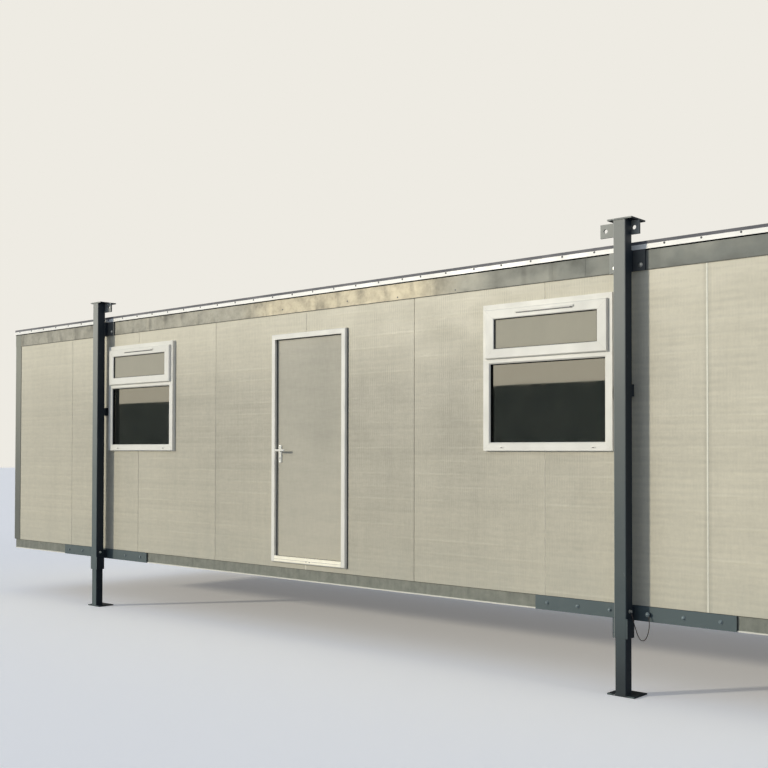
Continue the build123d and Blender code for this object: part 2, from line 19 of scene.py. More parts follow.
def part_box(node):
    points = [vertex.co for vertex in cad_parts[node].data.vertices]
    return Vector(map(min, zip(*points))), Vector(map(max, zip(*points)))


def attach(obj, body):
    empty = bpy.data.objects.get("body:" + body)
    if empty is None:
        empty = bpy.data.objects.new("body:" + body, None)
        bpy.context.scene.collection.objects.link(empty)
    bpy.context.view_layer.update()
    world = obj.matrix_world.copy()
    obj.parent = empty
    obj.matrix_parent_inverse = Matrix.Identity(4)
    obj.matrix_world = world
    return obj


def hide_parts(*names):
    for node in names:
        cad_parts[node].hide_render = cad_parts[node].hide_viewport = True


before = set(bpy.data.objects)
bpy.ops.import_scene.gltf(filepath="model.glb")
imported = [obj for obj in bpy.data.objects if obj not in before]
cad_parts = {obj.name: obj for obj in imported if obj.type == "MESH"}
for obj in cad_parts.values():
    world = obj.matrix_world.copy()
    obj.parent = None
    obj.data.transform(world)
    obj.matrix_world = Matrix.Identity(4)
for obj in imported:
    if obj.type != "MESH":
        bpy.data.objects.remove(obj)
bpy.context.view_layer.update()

LOG = logging.getLogger("site_cabin")

Point = tuple[float, float, float]
Colour = tuple[float, float, float, float]
Tone = tuple[int, int, int]
Rows = Sequence[tuple[float, float]]
Material = bpy.types.Material
Mesh = bmesh.types.BMesh
Socket = bpy.types.NodeSocket

# Planes and levels of the body that the small parts sit on
WALL_Y = 1.550
FASCIA_Y = 1.553
SPREADER_Y = 1.553
BATTEN_Y = 1.563
PANEL_X = 4.897
SEAM_PITCH = 1.2192
PANEL_FOOT = 0.588
FASCIA_FOOT = 2.813
BATTEN_FOOT = 2.954
TRIM_W = 0.110
POST_X = 3.060
POST_Y = 1.647
POST_HALF = 0.045

# How a small part sinks into what carries it, and how a piece is merged and shaded
SUNK = 0.001
MERGE = 1e-6
LARGE_FACE = 0.02
SHARP = math.radians(32)


# ---------------------------------------------------------------- options
class Facing(Enum):
    """Direction that a small part looks in, as the turn of its own Z axis."""

    FRONT = (math.pi / 2, 0.0, 0.0)
    BACK = (-math.pi / 2, 0.0, 0.0)
    LEFT = (0.0, -math.pi / 2, 0.0)
    RIGHT = (0.0, math.pi / 2, 0.0)

    def at(self, place: Point) -> Matrix:
        """Frame that stands a part's foot at a point, looking this way."""
        return Matrix.Translation(place) @ Euler(self.value).to_matrix().to_4x4()


class Corner(Enum):
    """The four corners and their jack legs: name tag, sign along X and sign along Y."""

    FRONT_LEFT = ("fl", -1, -1)
    FRONT_RIGHT = ("fr", 1, -1)
    BACK_LEFT = ("bl", -1, 1)
    BACK_RIGHT = ("br", 1, 1)

    @property
    def tag(self) -> str:
        """Short name used in the names of nodes and pieces."""
        return self.value[0]

    @property
    def sx(self) -> int:
        """Sign of the corner along X."""
        return self.value[1]

    @property
    def sy(self) -> int:
        """Sign of the corner along Y."""
        return self.value[2]

    @property
    def facing(self) -> Facing:
        """Way that the corner's long wall looks."""
        return Facing.FRONT if self.sy < 0 else Facing.BACK


# ---------------------------------------------------------------- node trees
def shade(red: int, green: int, blue: int) -> Colour:
    """Turn a screen colour of 0 to 255 into the linear colour that sockets take.

    Args:
        red: Red on the screen.
        green: Green on the screen.
        blue: Blue on the screen.

    Returns:
        Linear red, green, blue and an alpha of one.
    """
    def channel(value: int) -> float:
        """Linear value of one channel."""
        part = value / 255
        return part / 12.92 if part <= 0.04045 else ((part + 0.055) / 1.055) ** 2.4

    return (channel(red), channel(green), channel(blue), 1.0)


class Shader:
    """One material's node tree, with short calls for the nodes that the finishes share."""

    def __init__(self, name: str) -> None:
        """Start a material with a Principled shader on its output.

        Args:
            name: The material's name.
        """
        self.material = bpy.data.materials.new(name)
        self.material.use_nodes = True
        self.tree = self.material.node_tree
        self.tree.nodes.clear()
        output = self.tree.nodes.new("ShaderNodeOutputMaterial")
        self.bsdf = self.tree.nodes.new("ShaderNodeBsdfPrincipled")
        self.tree.links.new(self.bsdf.outputs["BSDF"], output.inputs["Surface"])
        coordinates = self.tree.nodes.new("ShaderNodeTexCoord").outputs
        self.place = coordinates["Object"]
        self.x, self.y, self.z = self.add("ShaderNodeSeparateXYZ", Vector=self.place).outputs
        self.facing = self.add("ShaderNodeSeparateXYZ", Vector=coordinates["Normal"]).outputs

    def add(self, kind: str, **inputs: object) -> bpy.types.Node:
        """Add a node and feed its inputs.

        Args:
            kind: The node's type.
            inputs: A value or another node's socket for each input, with _ for a space.

        Returns:
            The new node.
        """
        node = self.tree.nodes.new(kind)
        for name, value in inputs.items():
            self.feed(node.inputs[name.replace("_", " ")], value)
        return node

    def feed(self, socket: Socket, value: object) -> None:
        """Link a socket to another one, or set its value.

        Args:
            socket: The input that is fed.
            value: Another node's output, or a plain value.
        """
        if isinstance(value, Socket):
            self.tree.links.new(value, socket)
        else:
            socket.default_value = value

    def stretch(self, scale: Point, shift: Point = (0.0, 0.0, 0.0)) -> Socket:
        """Object coordinates, scaled and then shifted along each axis."""
        return self.add("ShaderNodeMapping", Vector=self.place, Location=shift,
                        Scale=scale).outputs["Vector"]

    def noise(self, scale: float, detail: float = 3.0, rough: float = 0.5,
              spread: Point = (1.0, 1.0, 1.0), shift: Point = (0.0, 0.0, 0.0)) -> Socket:
        """Cloudy noise from 0 to 1.

        Args:
            scale: Clouds per metre.
            detail: Number of finer layers.
            rough: Weight of the finer layers.
            spread: Factor along each axis before the noise.
            shift: Distance that is added along each axis.

        Returns:
            The noise.
        """
        return self.add("ShaderNodeTexNoise", Vector=self.stretch(spread, shift),
                        Scale=scale, Detail=detail, Roughness=rough).outputs[0]

    def cells(self, scale: float, spread: Point = (1.0, 1.0, 1.0),
              even: bool = False) -> Socket:
        """Cell pattern.

        Args:
            scale: Cells per metre.
            spread: Factor along each axis before the pattern.
            even: True for one even tone per cell, False for the distance to its middle.

        Returns:
            The pattern.
        """
        node = self.add("ShaderNodeTexVoronoi", Vector=self.stretch(spread), Scale=scale)
        return node.outputs["Color" if even else "Distance"]

    def tone(self, number: object) -> Socket:
        """Even tone from 0 to 1 that each whole number has for itself.

        Args:
            number: The number.

        Returns:
            Its tone.
        """
        node = self.tree.nodes.new("ShaderNodeTexWhiteNoise")
        node.noise_dimensions = "1D"
        self.feed(node.inputs["W"], number)
        return node.outputs["Value"]

    def work_out(self, kind: str, first: object, second: object = 0.0) -> Socket:
        """Work out one operation.

        Args:
            kind: Operation of the Math node.
            first: First value or socket.
            second: Second value or socket, where the operation takes one.

        Returns:
            The result.
        """
        node = self.tree.nodes.new("ShaderNodeMath")
        node.operation = kind
        self.feed(node.inputs[0], first)
        self.feed(node.inputs[1], second)
        return node.outputs[0]

    def total(self, first: object, *others: object) -> Socket:
        """All the values added up."""
        return reduce(lambda done, other: self.work_out("ADD", done, other), others, first)

    def product(self, first: object, *others: object) -> Socket:
        """All the values multiplied."""
        return reduce(lambda done, other: self.work_out("MULTIPLY", done, other), others, first)

    def less(self, value: object, other: object) -> Socket:
        """A value less another one."""
        return self.work_out("SUBTRACT", value, other)

    def size(self, value: object) -> Socket:
        """A value without its sign."""
        return self.work_out("ABSOLUTE", value)

    def away(self, value: object, middle: float) -> Socket:
        """Distance of a value from a middle one."""
        return self.size(self.less(value, middle))

    def steps(self, value: object, pitch: float) -> Socket:
        """A length as a number of steps of one pitch."""
        return self.work_out("DIVIDE", value, pitch)

    def off_middle(self, value: object) -> Socket:
        """Distance from the middle of the whole step that a value lies in, 0 to 0.5."""
        return self.away(self.work_out("FRACT", value), 0.5)

    def wave(self, axis: Socket, pitch: float) -> Socket:
        """Even wave from -1 to 1 along an axis."""
        return self.work_out("SINE", self.product(axis, 2 * math.pi / pitch))

    def span(self, value: object, low: float, high: float, to_low: float = 0.0,
             to_high: float = 1.0) -> Socket:
        """Map a value from one range to another, held at its ends.

        Args:
            value: What is mapped.
            low: Start of its range.
            high: End of its range.
            to_low: Result at the start.
            to_high: Result at the end.

        Returns:
            The mapped value.
        """
        node = self.add("ShaderNodeMapRange", Value=value)
        for index, number in enumerate((low, high, to_low, to_high), 1):
            node.inputs[index].default_value = number
        return node.outputs["Result"]

    def blend(self, factor: object, first: object, second: object) -> Socket:
        """Blend two colours.

        Args:
            factor: Share of the second colour.
            first: First colour.
            second: Second colour.

        Returns:
            The blended colour.
        """
        node = self.tree.nodes.new("ShaderNodeMix")
        node.data_type = "RGBA"
        for index, value in ((0, factor), (6, first), (7, second)):
            self.feed(node.inputs[index], value)
        return node.outputs[2]

    def relief(self, height: object, depth: float, strength: float = 1.0,
               under: Socket | None = None) -> Socket:
        """Raise the surface by a height.

        Args:
            height: Height from 0 to 1.
            depth: Metres between 0 and 1.
            strength: Share of the effect.
            under: Relief that this one lies on.

        Returns:
            The normal.
        """
        node = self.add("ShaderNodeBump", Height=height, Distance=depth, Strength=strength)
        if under is not None:
            self.feed(node.inputs["Normal"], under)
        return node.outputs["Normal"]

    def surface(self, **inputs: object) -> Material:
        """Feed the Principled shader and hand over the material.

        Args:
            inputs: A value or socket for each input, with _ for a space.

        Returns:
            The finished material.
        """
        for name, value in inputs.items():
            self.feed(self.bsdf.inputs[name.replace("_", " ")], value)
        return self.material


# ---------------------------------------------------------------- finishes
@dataclass(frozen=True)
class StuccoSheet:
    """Coated sheet with a fine rolled emboss, in boards of one seam pitch."""

    name: str = "stucco_sheet"
    lit: Colour = shade(204, 198, 176)
    dull: Colour = shade(157, 153, 137)
    dark_foot: Colour = shade(150, 153, 143)
    filler: Colour = shade(240, 236, 220)
    band: float = 0.102
    comb: float = 0.0205
    first_seam: float = -3.709
    open_seam: float = 1.168
    beaded_seam: float = 3.607
    splash_h: float = 0.4
    emboss_depth: float = 0.0005
    line_depth: float = 0.0010
    comb_depth: float = 0.0005

    def boards(self, node: Shader) -> Socket:
        """Place along the wall as a number of boards from the first seam."""
        return node.steps(node.less(node.x, self.first_seam), SEAM_PITCH)

    def roller_lines(self, node: Shader) -> Socket:
        """Thin level lines that the roller leaves, stronger in some stretches.

        Args:
            node: The material's tree.

        Returns:
            Their strength, from 0 to 1.
        """
        row = node.off_middle(node.steps(node.z, self.band))
        stretch = node.noise(3.0, 2.0, spread=(0.5, 0.5, 3.0))
        return node.product(node.span(row, 0.36, 0.5), node.span(stretch, 0.36, 0.64))

    def combing(self, node: Shader) -> Socket:
        """Fine upright wave in patches, weaker low down and at the right end.

        Args:
            node: The material's tree.

        Returns:
            The wave, from -1 to 1.
        """
        patches = node.noise(9.0, 2.0, spread=(0.8, 1.0, 1.4))
        return node.product(node.wave(node.x, self.comb), node.span(patches, 0.42, 0.62),
                            node.span(node.z, 1.0, 2.0, 0.35, 1.0),
                            node.span(node.x, 2.5, 3.2, 1.0, 0.3))

    def rolled_rows(self, node: Shader) -> Socket:
        """Level wave in patches, stronger at the right end.

        Args:
            node: The material's tree.

        Returns:
            The wave, from -1 to 1 and up to 1.7 times that at the right end.
        """
        patches = node.noise(5.0, 2.0, shift=(5.0, 0.0, 2.0))
        return node.product(node.wave(node.z, self.band / 2),
                            node.span(patches, 0.35, 0.65),
                            node.span(node.x, 2.5, 3.2, 1.0, 1.7))

    def seam_filler(self, node: Shader) -> Socket:
        """Pale filler in the seams: more to the right, and little in the open one.

        Args:
            node: The material's tree.

        Returns:
            Its share, 0 away from the seams.
        """
        away = node.product(node.off_middle(node.total(0.5, self.boards(node))), SEAM_PITCH)
        share = node.less(node.span(node.x, -1.3, -0.2, 0.25, 0.55),
                          node.span(node.away(node.x, self.open_seam), 0.2, 0.3, 0.5, 0.0))
        return node.product(node.span(away, 0.0034, 0.0045, 1.0, 0.0), share)

    def weathering_and_sheen(self, node: Shader) -> Socket:
        """Weathering along the wall, with painted sheen that makes the head lighter: most in
        the middle boards, less at the right end and at the head.

        Args:
            node: The material's tree.

        Returns:
            Its share before the finer patterns are added.
        """
        left = node.span(node.x, -4.6, -2.2, 0.46, 0.68)
        middle = node.span(node.x, -0.5, 0.6, 0.0, 0.10)
        right = node.span(node.x, 1.8, 3.7, 0.0, 0.56)
        # Less share under the top channel: partly weathering, partly painted sheen of the light
        # on the upper wall
        head = node.span(node.z, 2.1, FASCIA_FOOT, 1.08, 0.05)
        foot = node.span(node.z, PANEL_FOOT, 1.7, 0.30, 0.0)
        return node.product(node.less(node.total(left, middle), right), node.less(head, foot))

    def build(self) -> Material:
        """Make the material: board tones, roller lines, comb, emboss and weathering."""
        node = Shader(self.name)
        board = node.work_out("FLOOR", self.boards(node))
        row = node.work_out("FLOOR", node.steps(node.z, self.band / 2))
        lines, comb = self.roller_lines(node), self.combing(node)
        patch = node.noise(4.0, 3.0, spread=(0.7, 0.7, 1.3))
        # Each pattern, its range, and how far it shifts the colour at the range's ends
        patterns = (
            (node.tone(board), 0.0, 1.0, -0.05, 0.05),
            (node.tone(node.total(row, node.product(board, 37.0))), 0.0, 1.0, -0.05, 0.05),
            (lines, 0.0, 1.0, 0.015, -0.11),
            (comb, -1.0, 1.0, -0.16, 0.16),
            (self.rolled_rows(node), -1.7, 1.7, -0.10, 0.10),
            (node.noise(70.0, 1.0, spread=(1.0, 1.0, 0.3)), 0.3, 0.7, -0.05, 0.05),
            (node.noise(70.0, 1.0, spread=(0.22, 1.0, 1.0)), 0.3, 0.7, -0.05, 0.05),
            (node.noise(1.1, 3.0, spread=(1.0, 1.0, 0.7)), 0.3, 0.7, -0.07, 0.07),
            (patch, 0.3, 0.7, -0.04, 0.04),
            (node.noise(14.0, 2.0, spread=(1.0, 1.0, 0.06)), 0.4, 0.7, -0.03, 0.04),
            # Painted shade on both sides of the beaded seam
            (node.away(node.x, self.beaded_seam), 0.010, 0.034, 0.34, 0.0),
        )
        share = node.total(self.weathering_and_sheen(node), *(node.span(*each) for each in patterns))
        colour = node.blend(share, self.lit, self.dull)
        splash = node.product(
            node.span(node.z, PANEL_FOOT, PANEL_FOOT + self.splash_h, 0.3, 0.0),
            node.span(node.noise(3.0, 5.0, 0.6), 0.3, 0.7, 0.2, 1.0))
        colour = node.blend(splash, colour, self.dark_foot)
        colour = node.blend(self.seam_filler(node), colour, self.filler)
        fine = node.cells(105.0, (1.0, 1.0, 0.5))
        dashes = node.noise(150.0, 2.0, spread=(1.0, 1.0, 0.35))
        normal = node.relief(node.total(fine, dashes), self.emboss_depth, 0.7)
        normal = node.relief(node.total(lines, node.product(patch, 0.6)), self.line_depth,
                             0.6, normal)
        normal = node.relief(node.span(comb, -1.0, 1.0), self.comb_depth, 0.5, normal)
        return node.surface(Base_Color=colour, Normal=normal,
                            Roughness=node.span(patch, 0.3, 0.7, 0.44, 0.56))


@dataclass(frozen=True)
class LeafSheet:
    """Smooth coated sheet of the door leaf, a little greyer than the walls."""

    name: str = "leaf_sheet"
    lit: Colour = shade(180, 175, 157)
    dull: Colour = shade(153, 150, 135)

    def build(self) -> Material:
        """Make the material: soft clouds, faint rolled bands, a weave and a fine grain."""
        node = Shader(self.name)
        cloud = node.noise(2.1, 3.0, spread=(1.0, 1.0, 0.5), shift=(3.0, 0.0, 1.0))
        rolled = node.noise(11.0, 2.0, spread=(0.2, 0.2, 1.5))
        upright = node.noise(70.0, 1.0, spread=(1.0, 1.0, 0.2))
        level = node.noise(70.0, 1.0, spread=(0.2, 1.0, 1.0))
        share = node.total(node.span(cloud, 0.3, 0.7, -0.1, 0.15),
                           node.span(rolled, 0.3, 0.7, -0.1, 0.1),
                           node.span(node.z, 0.8, 1.9, 0.1, 0.75),
                           node.span(upright, 0.3, 0.7, -0.07, 0.07),
                           node.span(level, 0.3, 0.7, -0.07, 0.07))
        normal = node.relief(node.cells(120.0, (1.0, 1.0, 0.5)), 0.0003, 0.5)
        normal = node.relief(rolled, 0.001, 0.5, normal)
        return node.surface(Base_Color=node.blend(share, self.lit, self.dull), Normal=normal,
                            Roughness=node.span(cloud, 0.3, 0.7, 0.40, 0.52))


@dataclass(frozen=True)
class RailZinc:
    """Weathered zinc of the base rail: mottle, upright streaks, a painted highlight on the foot
    lip and a painted shadow line along its top.
    """

    name: str = "rail_zinc"
    lit: Colour = shade(130, 133, 122)
    dull: Colour = shade(92, 96, 89)
    lip_highlight: Colour = shade(208, 207, 196)
    edge: Colour = shade(70, 75, 64)
    lip_top: float = 0.494
    shade_line_foot: float = 0.5815
    fade: float = 0.002
    metal: float = 0.1

    def build(self) -> Material:
        """Make the material."""
        node = Shader(self.name)
        blotch = node.noise(11.0, 4.0, 0.6)
        spangle = node.cells(46.0, even=True)
        streak = node.noise(22.0, 3.0, spread=(1.0, 1.0, 0.10))
        share = node.total(node.span(blotch, 0.32, 0.68, 0.0, 0.45),
                           node.span(spangle, 0.0, 1.0, 0.0, 0.25),
                           node.span(streak, 0.38, 0.66, 0.0, 0.30))
        colour = node.blend(share, self.lit, self.dull)
        # Painted shadow: dark line along the rail's top, under the wall panels
        edge = node.span(node.z, self.shade_line_foot, self.shade_line_foot + self.fade)
        colour = node.blend(edge, colour, self.edge)
        # Painted highlight on the foot lip
        lip_highlight = node.span(node.z, self.lip_top, self.lip_top + self.fade, 1.0, 0.0)
        colour = node.blend(lip_highlight, colour, self.lip_highlight)
        normal = node.relief(node.noise(60.0, 3.0), 0.0004, 0.5)
        normal = node.relief(node.noise(3.0, 2.0), 0.003, 0.5, normal)
        return node.surface(Base_Color=colour, Normal=normal, Metallic=self.metal,
                            Roughness=node.span(blotch, 0.3, 0.7, 0.38, 0.55))


@dataclass(frozen=True)
class FasciaZinc:
    """Dull zinc of the top channel: darker to the right, with a painted glint over the door,
    dented.
    """

    name: str = "fascia_zinc"
    pale: Colour = shade(149, 148, 138)
    deep: Colour = shade(104, 108, 105)
    glint: Colour = shade(178, 171, 151)
    stain_and_shade: Colour = shade(78, 76, 69)
    glint_x: float = 0.35
    pitch: float = 0.2685
    phase: float = 0.25
    metal: float = 0.3
    gloss: float = 0.25

    def dimples(self, node: Shader) -> Socket:
        """Upright valleys at the fixings, deeper at some than at others.

        Args:
            node: The material's tree.

        Returns:
            Their depth, from 0 to 1.
        """
        along = node.total(node.steps(node.x, self.pitch), self.phase,
                           node.span(node.noise(1.4, 1.0), 0.3, 0.7, -0.12, 0.12))
        depth = node.noise(2.2, 2.0, spread=(1.0, 1.0, 2.0))
        return node.product(node.span(node.off_middle(along), 0.0, 0.16, 1.0, 0.0),
                            node.span(depth, 0.38, 0.66),
                            node.span(node.x, 2.4, 3.2, 1.0, 0.15))

    def staining_and_dimple_shade(self, node: Shader, blotch: Socket, dimples: Socket) -> Socket:
        """Share of staining, and of painted shade in the dimples.

        Args:
            node: The material's tree.
            blotch: Large clouds that the blotches of staining follow.
            dimples: Valleys, which get painted shade.

        Returns:
            The share: broken blotches, painted shade in the valleys, and mottle and specks on
                the left.
        """
        broken = node.noise(24.0, 4.0, 0.6)
        specks = node.noise(42.0, 3.0, 0.6)
        mottle = node.noise(9.0, 4.0, 0.6, shift=(2.0, 0.0, 0.0))
        small = node.total(node.span(specks, 0.5, 0.72, 0.0, 0.16),
                           node.span(mottle, 0.38, 0.66, -0.05, 0.30))
        return node.total(node.product(node.span(blotch, 0.52, 0.72, 0.0, 0.5),
                                       node.span(broken, 0.3, 0.7, 0.4, 1.0)),
                          # Painted shade in the dimples
                          node.product(dimples, 0.30),
                          node.product(small, node.span(node.x, 0.9, 2.0, 1.0, 0.3)))

    def build(self) -> Material:
        """Make the material."""
        node = Shader(self.name)
        dimples = self.dimples(node)
        blotch = node.noise(3.2, 4.0, 0.55, spread=(1.0, 1.0, 1.2))
        share = node.total(node.span(node.x, 0.2, 3.0),
                           node.span(blotch, 0.3, 0.7, -0.12, 0.12))
        colour = node.blend(share, self.pale, self.deep)
        # Painted glint: paler zinc over the door, where the light's reflection falls
        glint = node.span(node.away(node.x, self.glint_x), 0.85, 1.3, 1.0, 0.0)
        colour = node.blend(glint, colour, self.glint)
        colour = node.blend(self.staining_and_dimple_shade(node, blotch, dimples), colour, self.stain_and_shade)
        dents = node.noise(5.0, 2.0, 0.45, spread=(1.0, 1.0, 0.7))
        normal = node.relief(node.noise(70.0, 3.0), 0.0003, 0.5)
        normal = node.relief(dents, 0.006, 0.7, normal)
        normal = node.relief(node.less(1.0, dimples), 0.006, 0.8, normal)
        return node.surface(Base_Color=colour, Normal=normal, Metallic=self.metal,
                            Specular_IOR_Level=self.gloss,
                            Roughness=node.span(blotch, 0.3, 0.7, 0.46, 0.58))


@dataclass(frozen=True)
class SatinPaint:
    """Paint on steel, lighter towards the top and darker on the faces that do not look
    outwards: painted light and painted shade.

    A dark_foot_x beyond the cabin's ends means no darker foot, and a shadowed_bracket_y of 0 no
    painted shadow on the bracket.
    """

    name: str
    high: Colour
    low: Colour
    painted_shade: Colour
    scuff: Colour
    from_z: float
    to_z: float
    dark_foot_x: float = 9.0
    shadowed_bracket_y: float = 0.0
    arris: Colour = shade(176, 180, 176)
    edge_highlight_in: float = 0.0025
    light_fall: float = 1.35
    rough: float = 0.5
    gloss: float = 0.3

    def dark_foot(self, node: Shader) -> Socket:
        """Darkening of one post towards the painted shade colour, most at its foot and some up
        to two thirds of its height.

        Args:
            node: The material's tree.

        Returns:
            Its share.
        """
        height = node.total(node.span(node.z, 0.08, 0.5, 0.70, 0.22),
                            node.span(node.z, 1.9, 2.4, 0.14, 0.0))
        away = node.away(node.x, self.dark_foot_x)
        return node.product(node.span(away, 0.05, 0.07, 1.0, 0.0), height)

    def bracket_shadow(self, node: Shader, across: Socket) -> Socket:
        """Share of painted shadow of each post on the bracket behind it, on its outer half."""
        behind = node.span(node.size(node.y), self.shadowed_bracket_y - 0.003, self.shadowed_bracket_y, 0.7, 0.0)
        return node.product(behind, node.span(node.z, 2.0, 2.1), node.span(across, -0.02, 0.02))

    def build(self) -> Material:
        """Make the material."""
        node = Shader(self.name)
        # Painted light: lighter towards the top, as the light falls on the posts
        height = node.span(node.z, self.from_z, self.to_z)
        cloud = node.noise(5.0, 4.0, 0.6)
        share = node.total(node.work_out("POWER", height, self.light_fall),
                           node.span(cloud, 0.3, 0.7, -0.06, 0.06))
        outward = node.span(node.size(node.facing["Y"]), 0.3, 0.85)
        across = node.product(node.work_out("SIGN", node.x),
                              node.less(node.size(node.x), POST_X))
        # Darker towards the foot of the right-hand posts, blended to the painted shade colour
        colour = node.blend(self.dark_foot(node), node.blend(share, self.low, self.high),
                            self.painted_shade)
        # Painted shadow of each post on its bracket
        colour = node.blend(self.bracket_shadow(node, across), colour, self.painted_shade)
        # Painted shade on the faces that do not look outwards
        colour = node.blend(outward, self.painted_shade, colour)
        # Painted highlight along the left edge of each post's outward faces
        arris = node.span(node.away(across, self.edge_highlight_in - POST_HALF), 0.002, 0.0035, 0.5, 0.0)
        colour = node.blend(node.product(arris, outward), colour, self.arris)
        worn = node.noise(38.0, 5.0, 0.65, spread=(1.0, 1.0, 0.7))
        colour = node.blend(node.span(worn, 0.66, 0.74, 0.0, 0.55), colour, self.scuff)
        normal = node.relief(node.noise(240.0, 2.0), 0.0002, 0.5)
        normal = node.relief(cloud, 0.001, 0.3, normal)
        return node.surface(Base_Color=colour, Normal=normal, Specular_IOR_Level=self.gloss,
                            Roughness=node.span(cloud, 0.3, 0.7, self.rough, self.rough + 0.1))


@dataclass(frozen=True)
class FramePlastic:
    """White extruded plastic with a fine grain and a thin even film of dust."""

    name: str = "frame_plastic"
    clean: Colour = shade(227, 225, 214)
    dusty: Colour = shade(218, 216, 205)
    rough: float = 0.40
    index: float = 1.5

    def build(self) -> Material:
        """Make the material."""
        node = Shader(self.name)
        dust = node.noise(6.0, 4.0, 0.5)
        colour = node.blend(node.span(dust, 0.35, 0.75), self.clean, self.dusty)
        normal = node.relief(node.noise(320.0, 2.0), 0.0001, 0.4)
        return node.surface(Base_Color=colour, Normal=normal, IOR=self.index,
                            Roughness=node.span(dust, 0.3, 0.7, self.rough, self.rough + 0.15))


@dataclass(frozen=True)
class Glazing:
    """Sealed glass unit: tinted glass with a strong gloss and a film of dust."""

    name: str
    tint: Colour
    dusty: Colour
    clear: float
    index: float
    film: float
    rough: float = 0.015
    gloss: Colour = shade(255, 247, 226)

    def build(self) -> Material:
        """Make the material."""
        node = Shader(self.name)
        dust = node.noise(6.0, 5.0, 0.65, spread=(1.0, 1.0, 0.8))
        colour = node.blend(node.span(dust, 0.35, 0.75), self.tint, self.dusty)
        return node.surface(
            Base_Color=colour, Transmission_Weight=self.clear, IOR=self.index,
            Specular_Tint=self.gloss,
            Roughness=node.span(dust, 0.4, 0.8, self.rough, self.rough + self.film),
            Normal=node.relief(node.noise(1.1, 1.0), 0.0015, 0.25))


@dataclass(frozen=True)
class Plain:
    """Small part of two close tones in slight clouds, with a fine grain."""

    name: str
    first: Tone
    second: Tone
    rough: float = 0.5
    metal: float = 0.0
    scale: float = 30.0
    grain: float = 0.0002
    gloss: float = 0.5

    def build(self) -> Material:
        """Make the material."""
        node = Shader(self.name)
        cloud = node.noise(self.scale, 4.0, 0.6)
        colour = node.blend(node.span(cloud, 0.35, 0.7), shade(*self.first),
                            shade(*self.second))
        normal = node.relief(node.noise(self.scale * 9, 2.0), self.grain, 0.5)
        return node.surface(Base_Color=colour, Normal=normal, Metallic=self.metal,
                            Specular_IOR_Level=self.gloss,
                            Roughness=node.span(cloud, 0.3, 0.7, self.rough, self.rough + 0.12))


@dataclass(frozen=True)
class CoatedBoard:
    """Board with long grain and joints between its sheets."""

    name: str
    pale: Colour
    dark: Colour
    gap: Colour = shade(60, 52, 44)
    joint: float = 1.22
    rough: float = 0.5

    def build(self) -> Material:
        """Make the material."""
        node = Shader(self.name)
        grain = node.noise(28.0, 5.0, 0.6, spread=(0.08, 1.0, 1.0))
        away = node.off_middle(node.steps(node.x, self.joint))
        colour = node.blend(node.span(grain, 0.3, 0.7), self.pale, self.dark)
        colour = node.blend(node.span(away, 0.4985, 0.5), colour, self.gap)
        return node.surface(Base_Color=colour, Normal=node.relief(grain, 0.0004, 0.6),
                            Roughness=node.span(grain, 0.3, 0.7, self.rough, self.rough + 0.15))


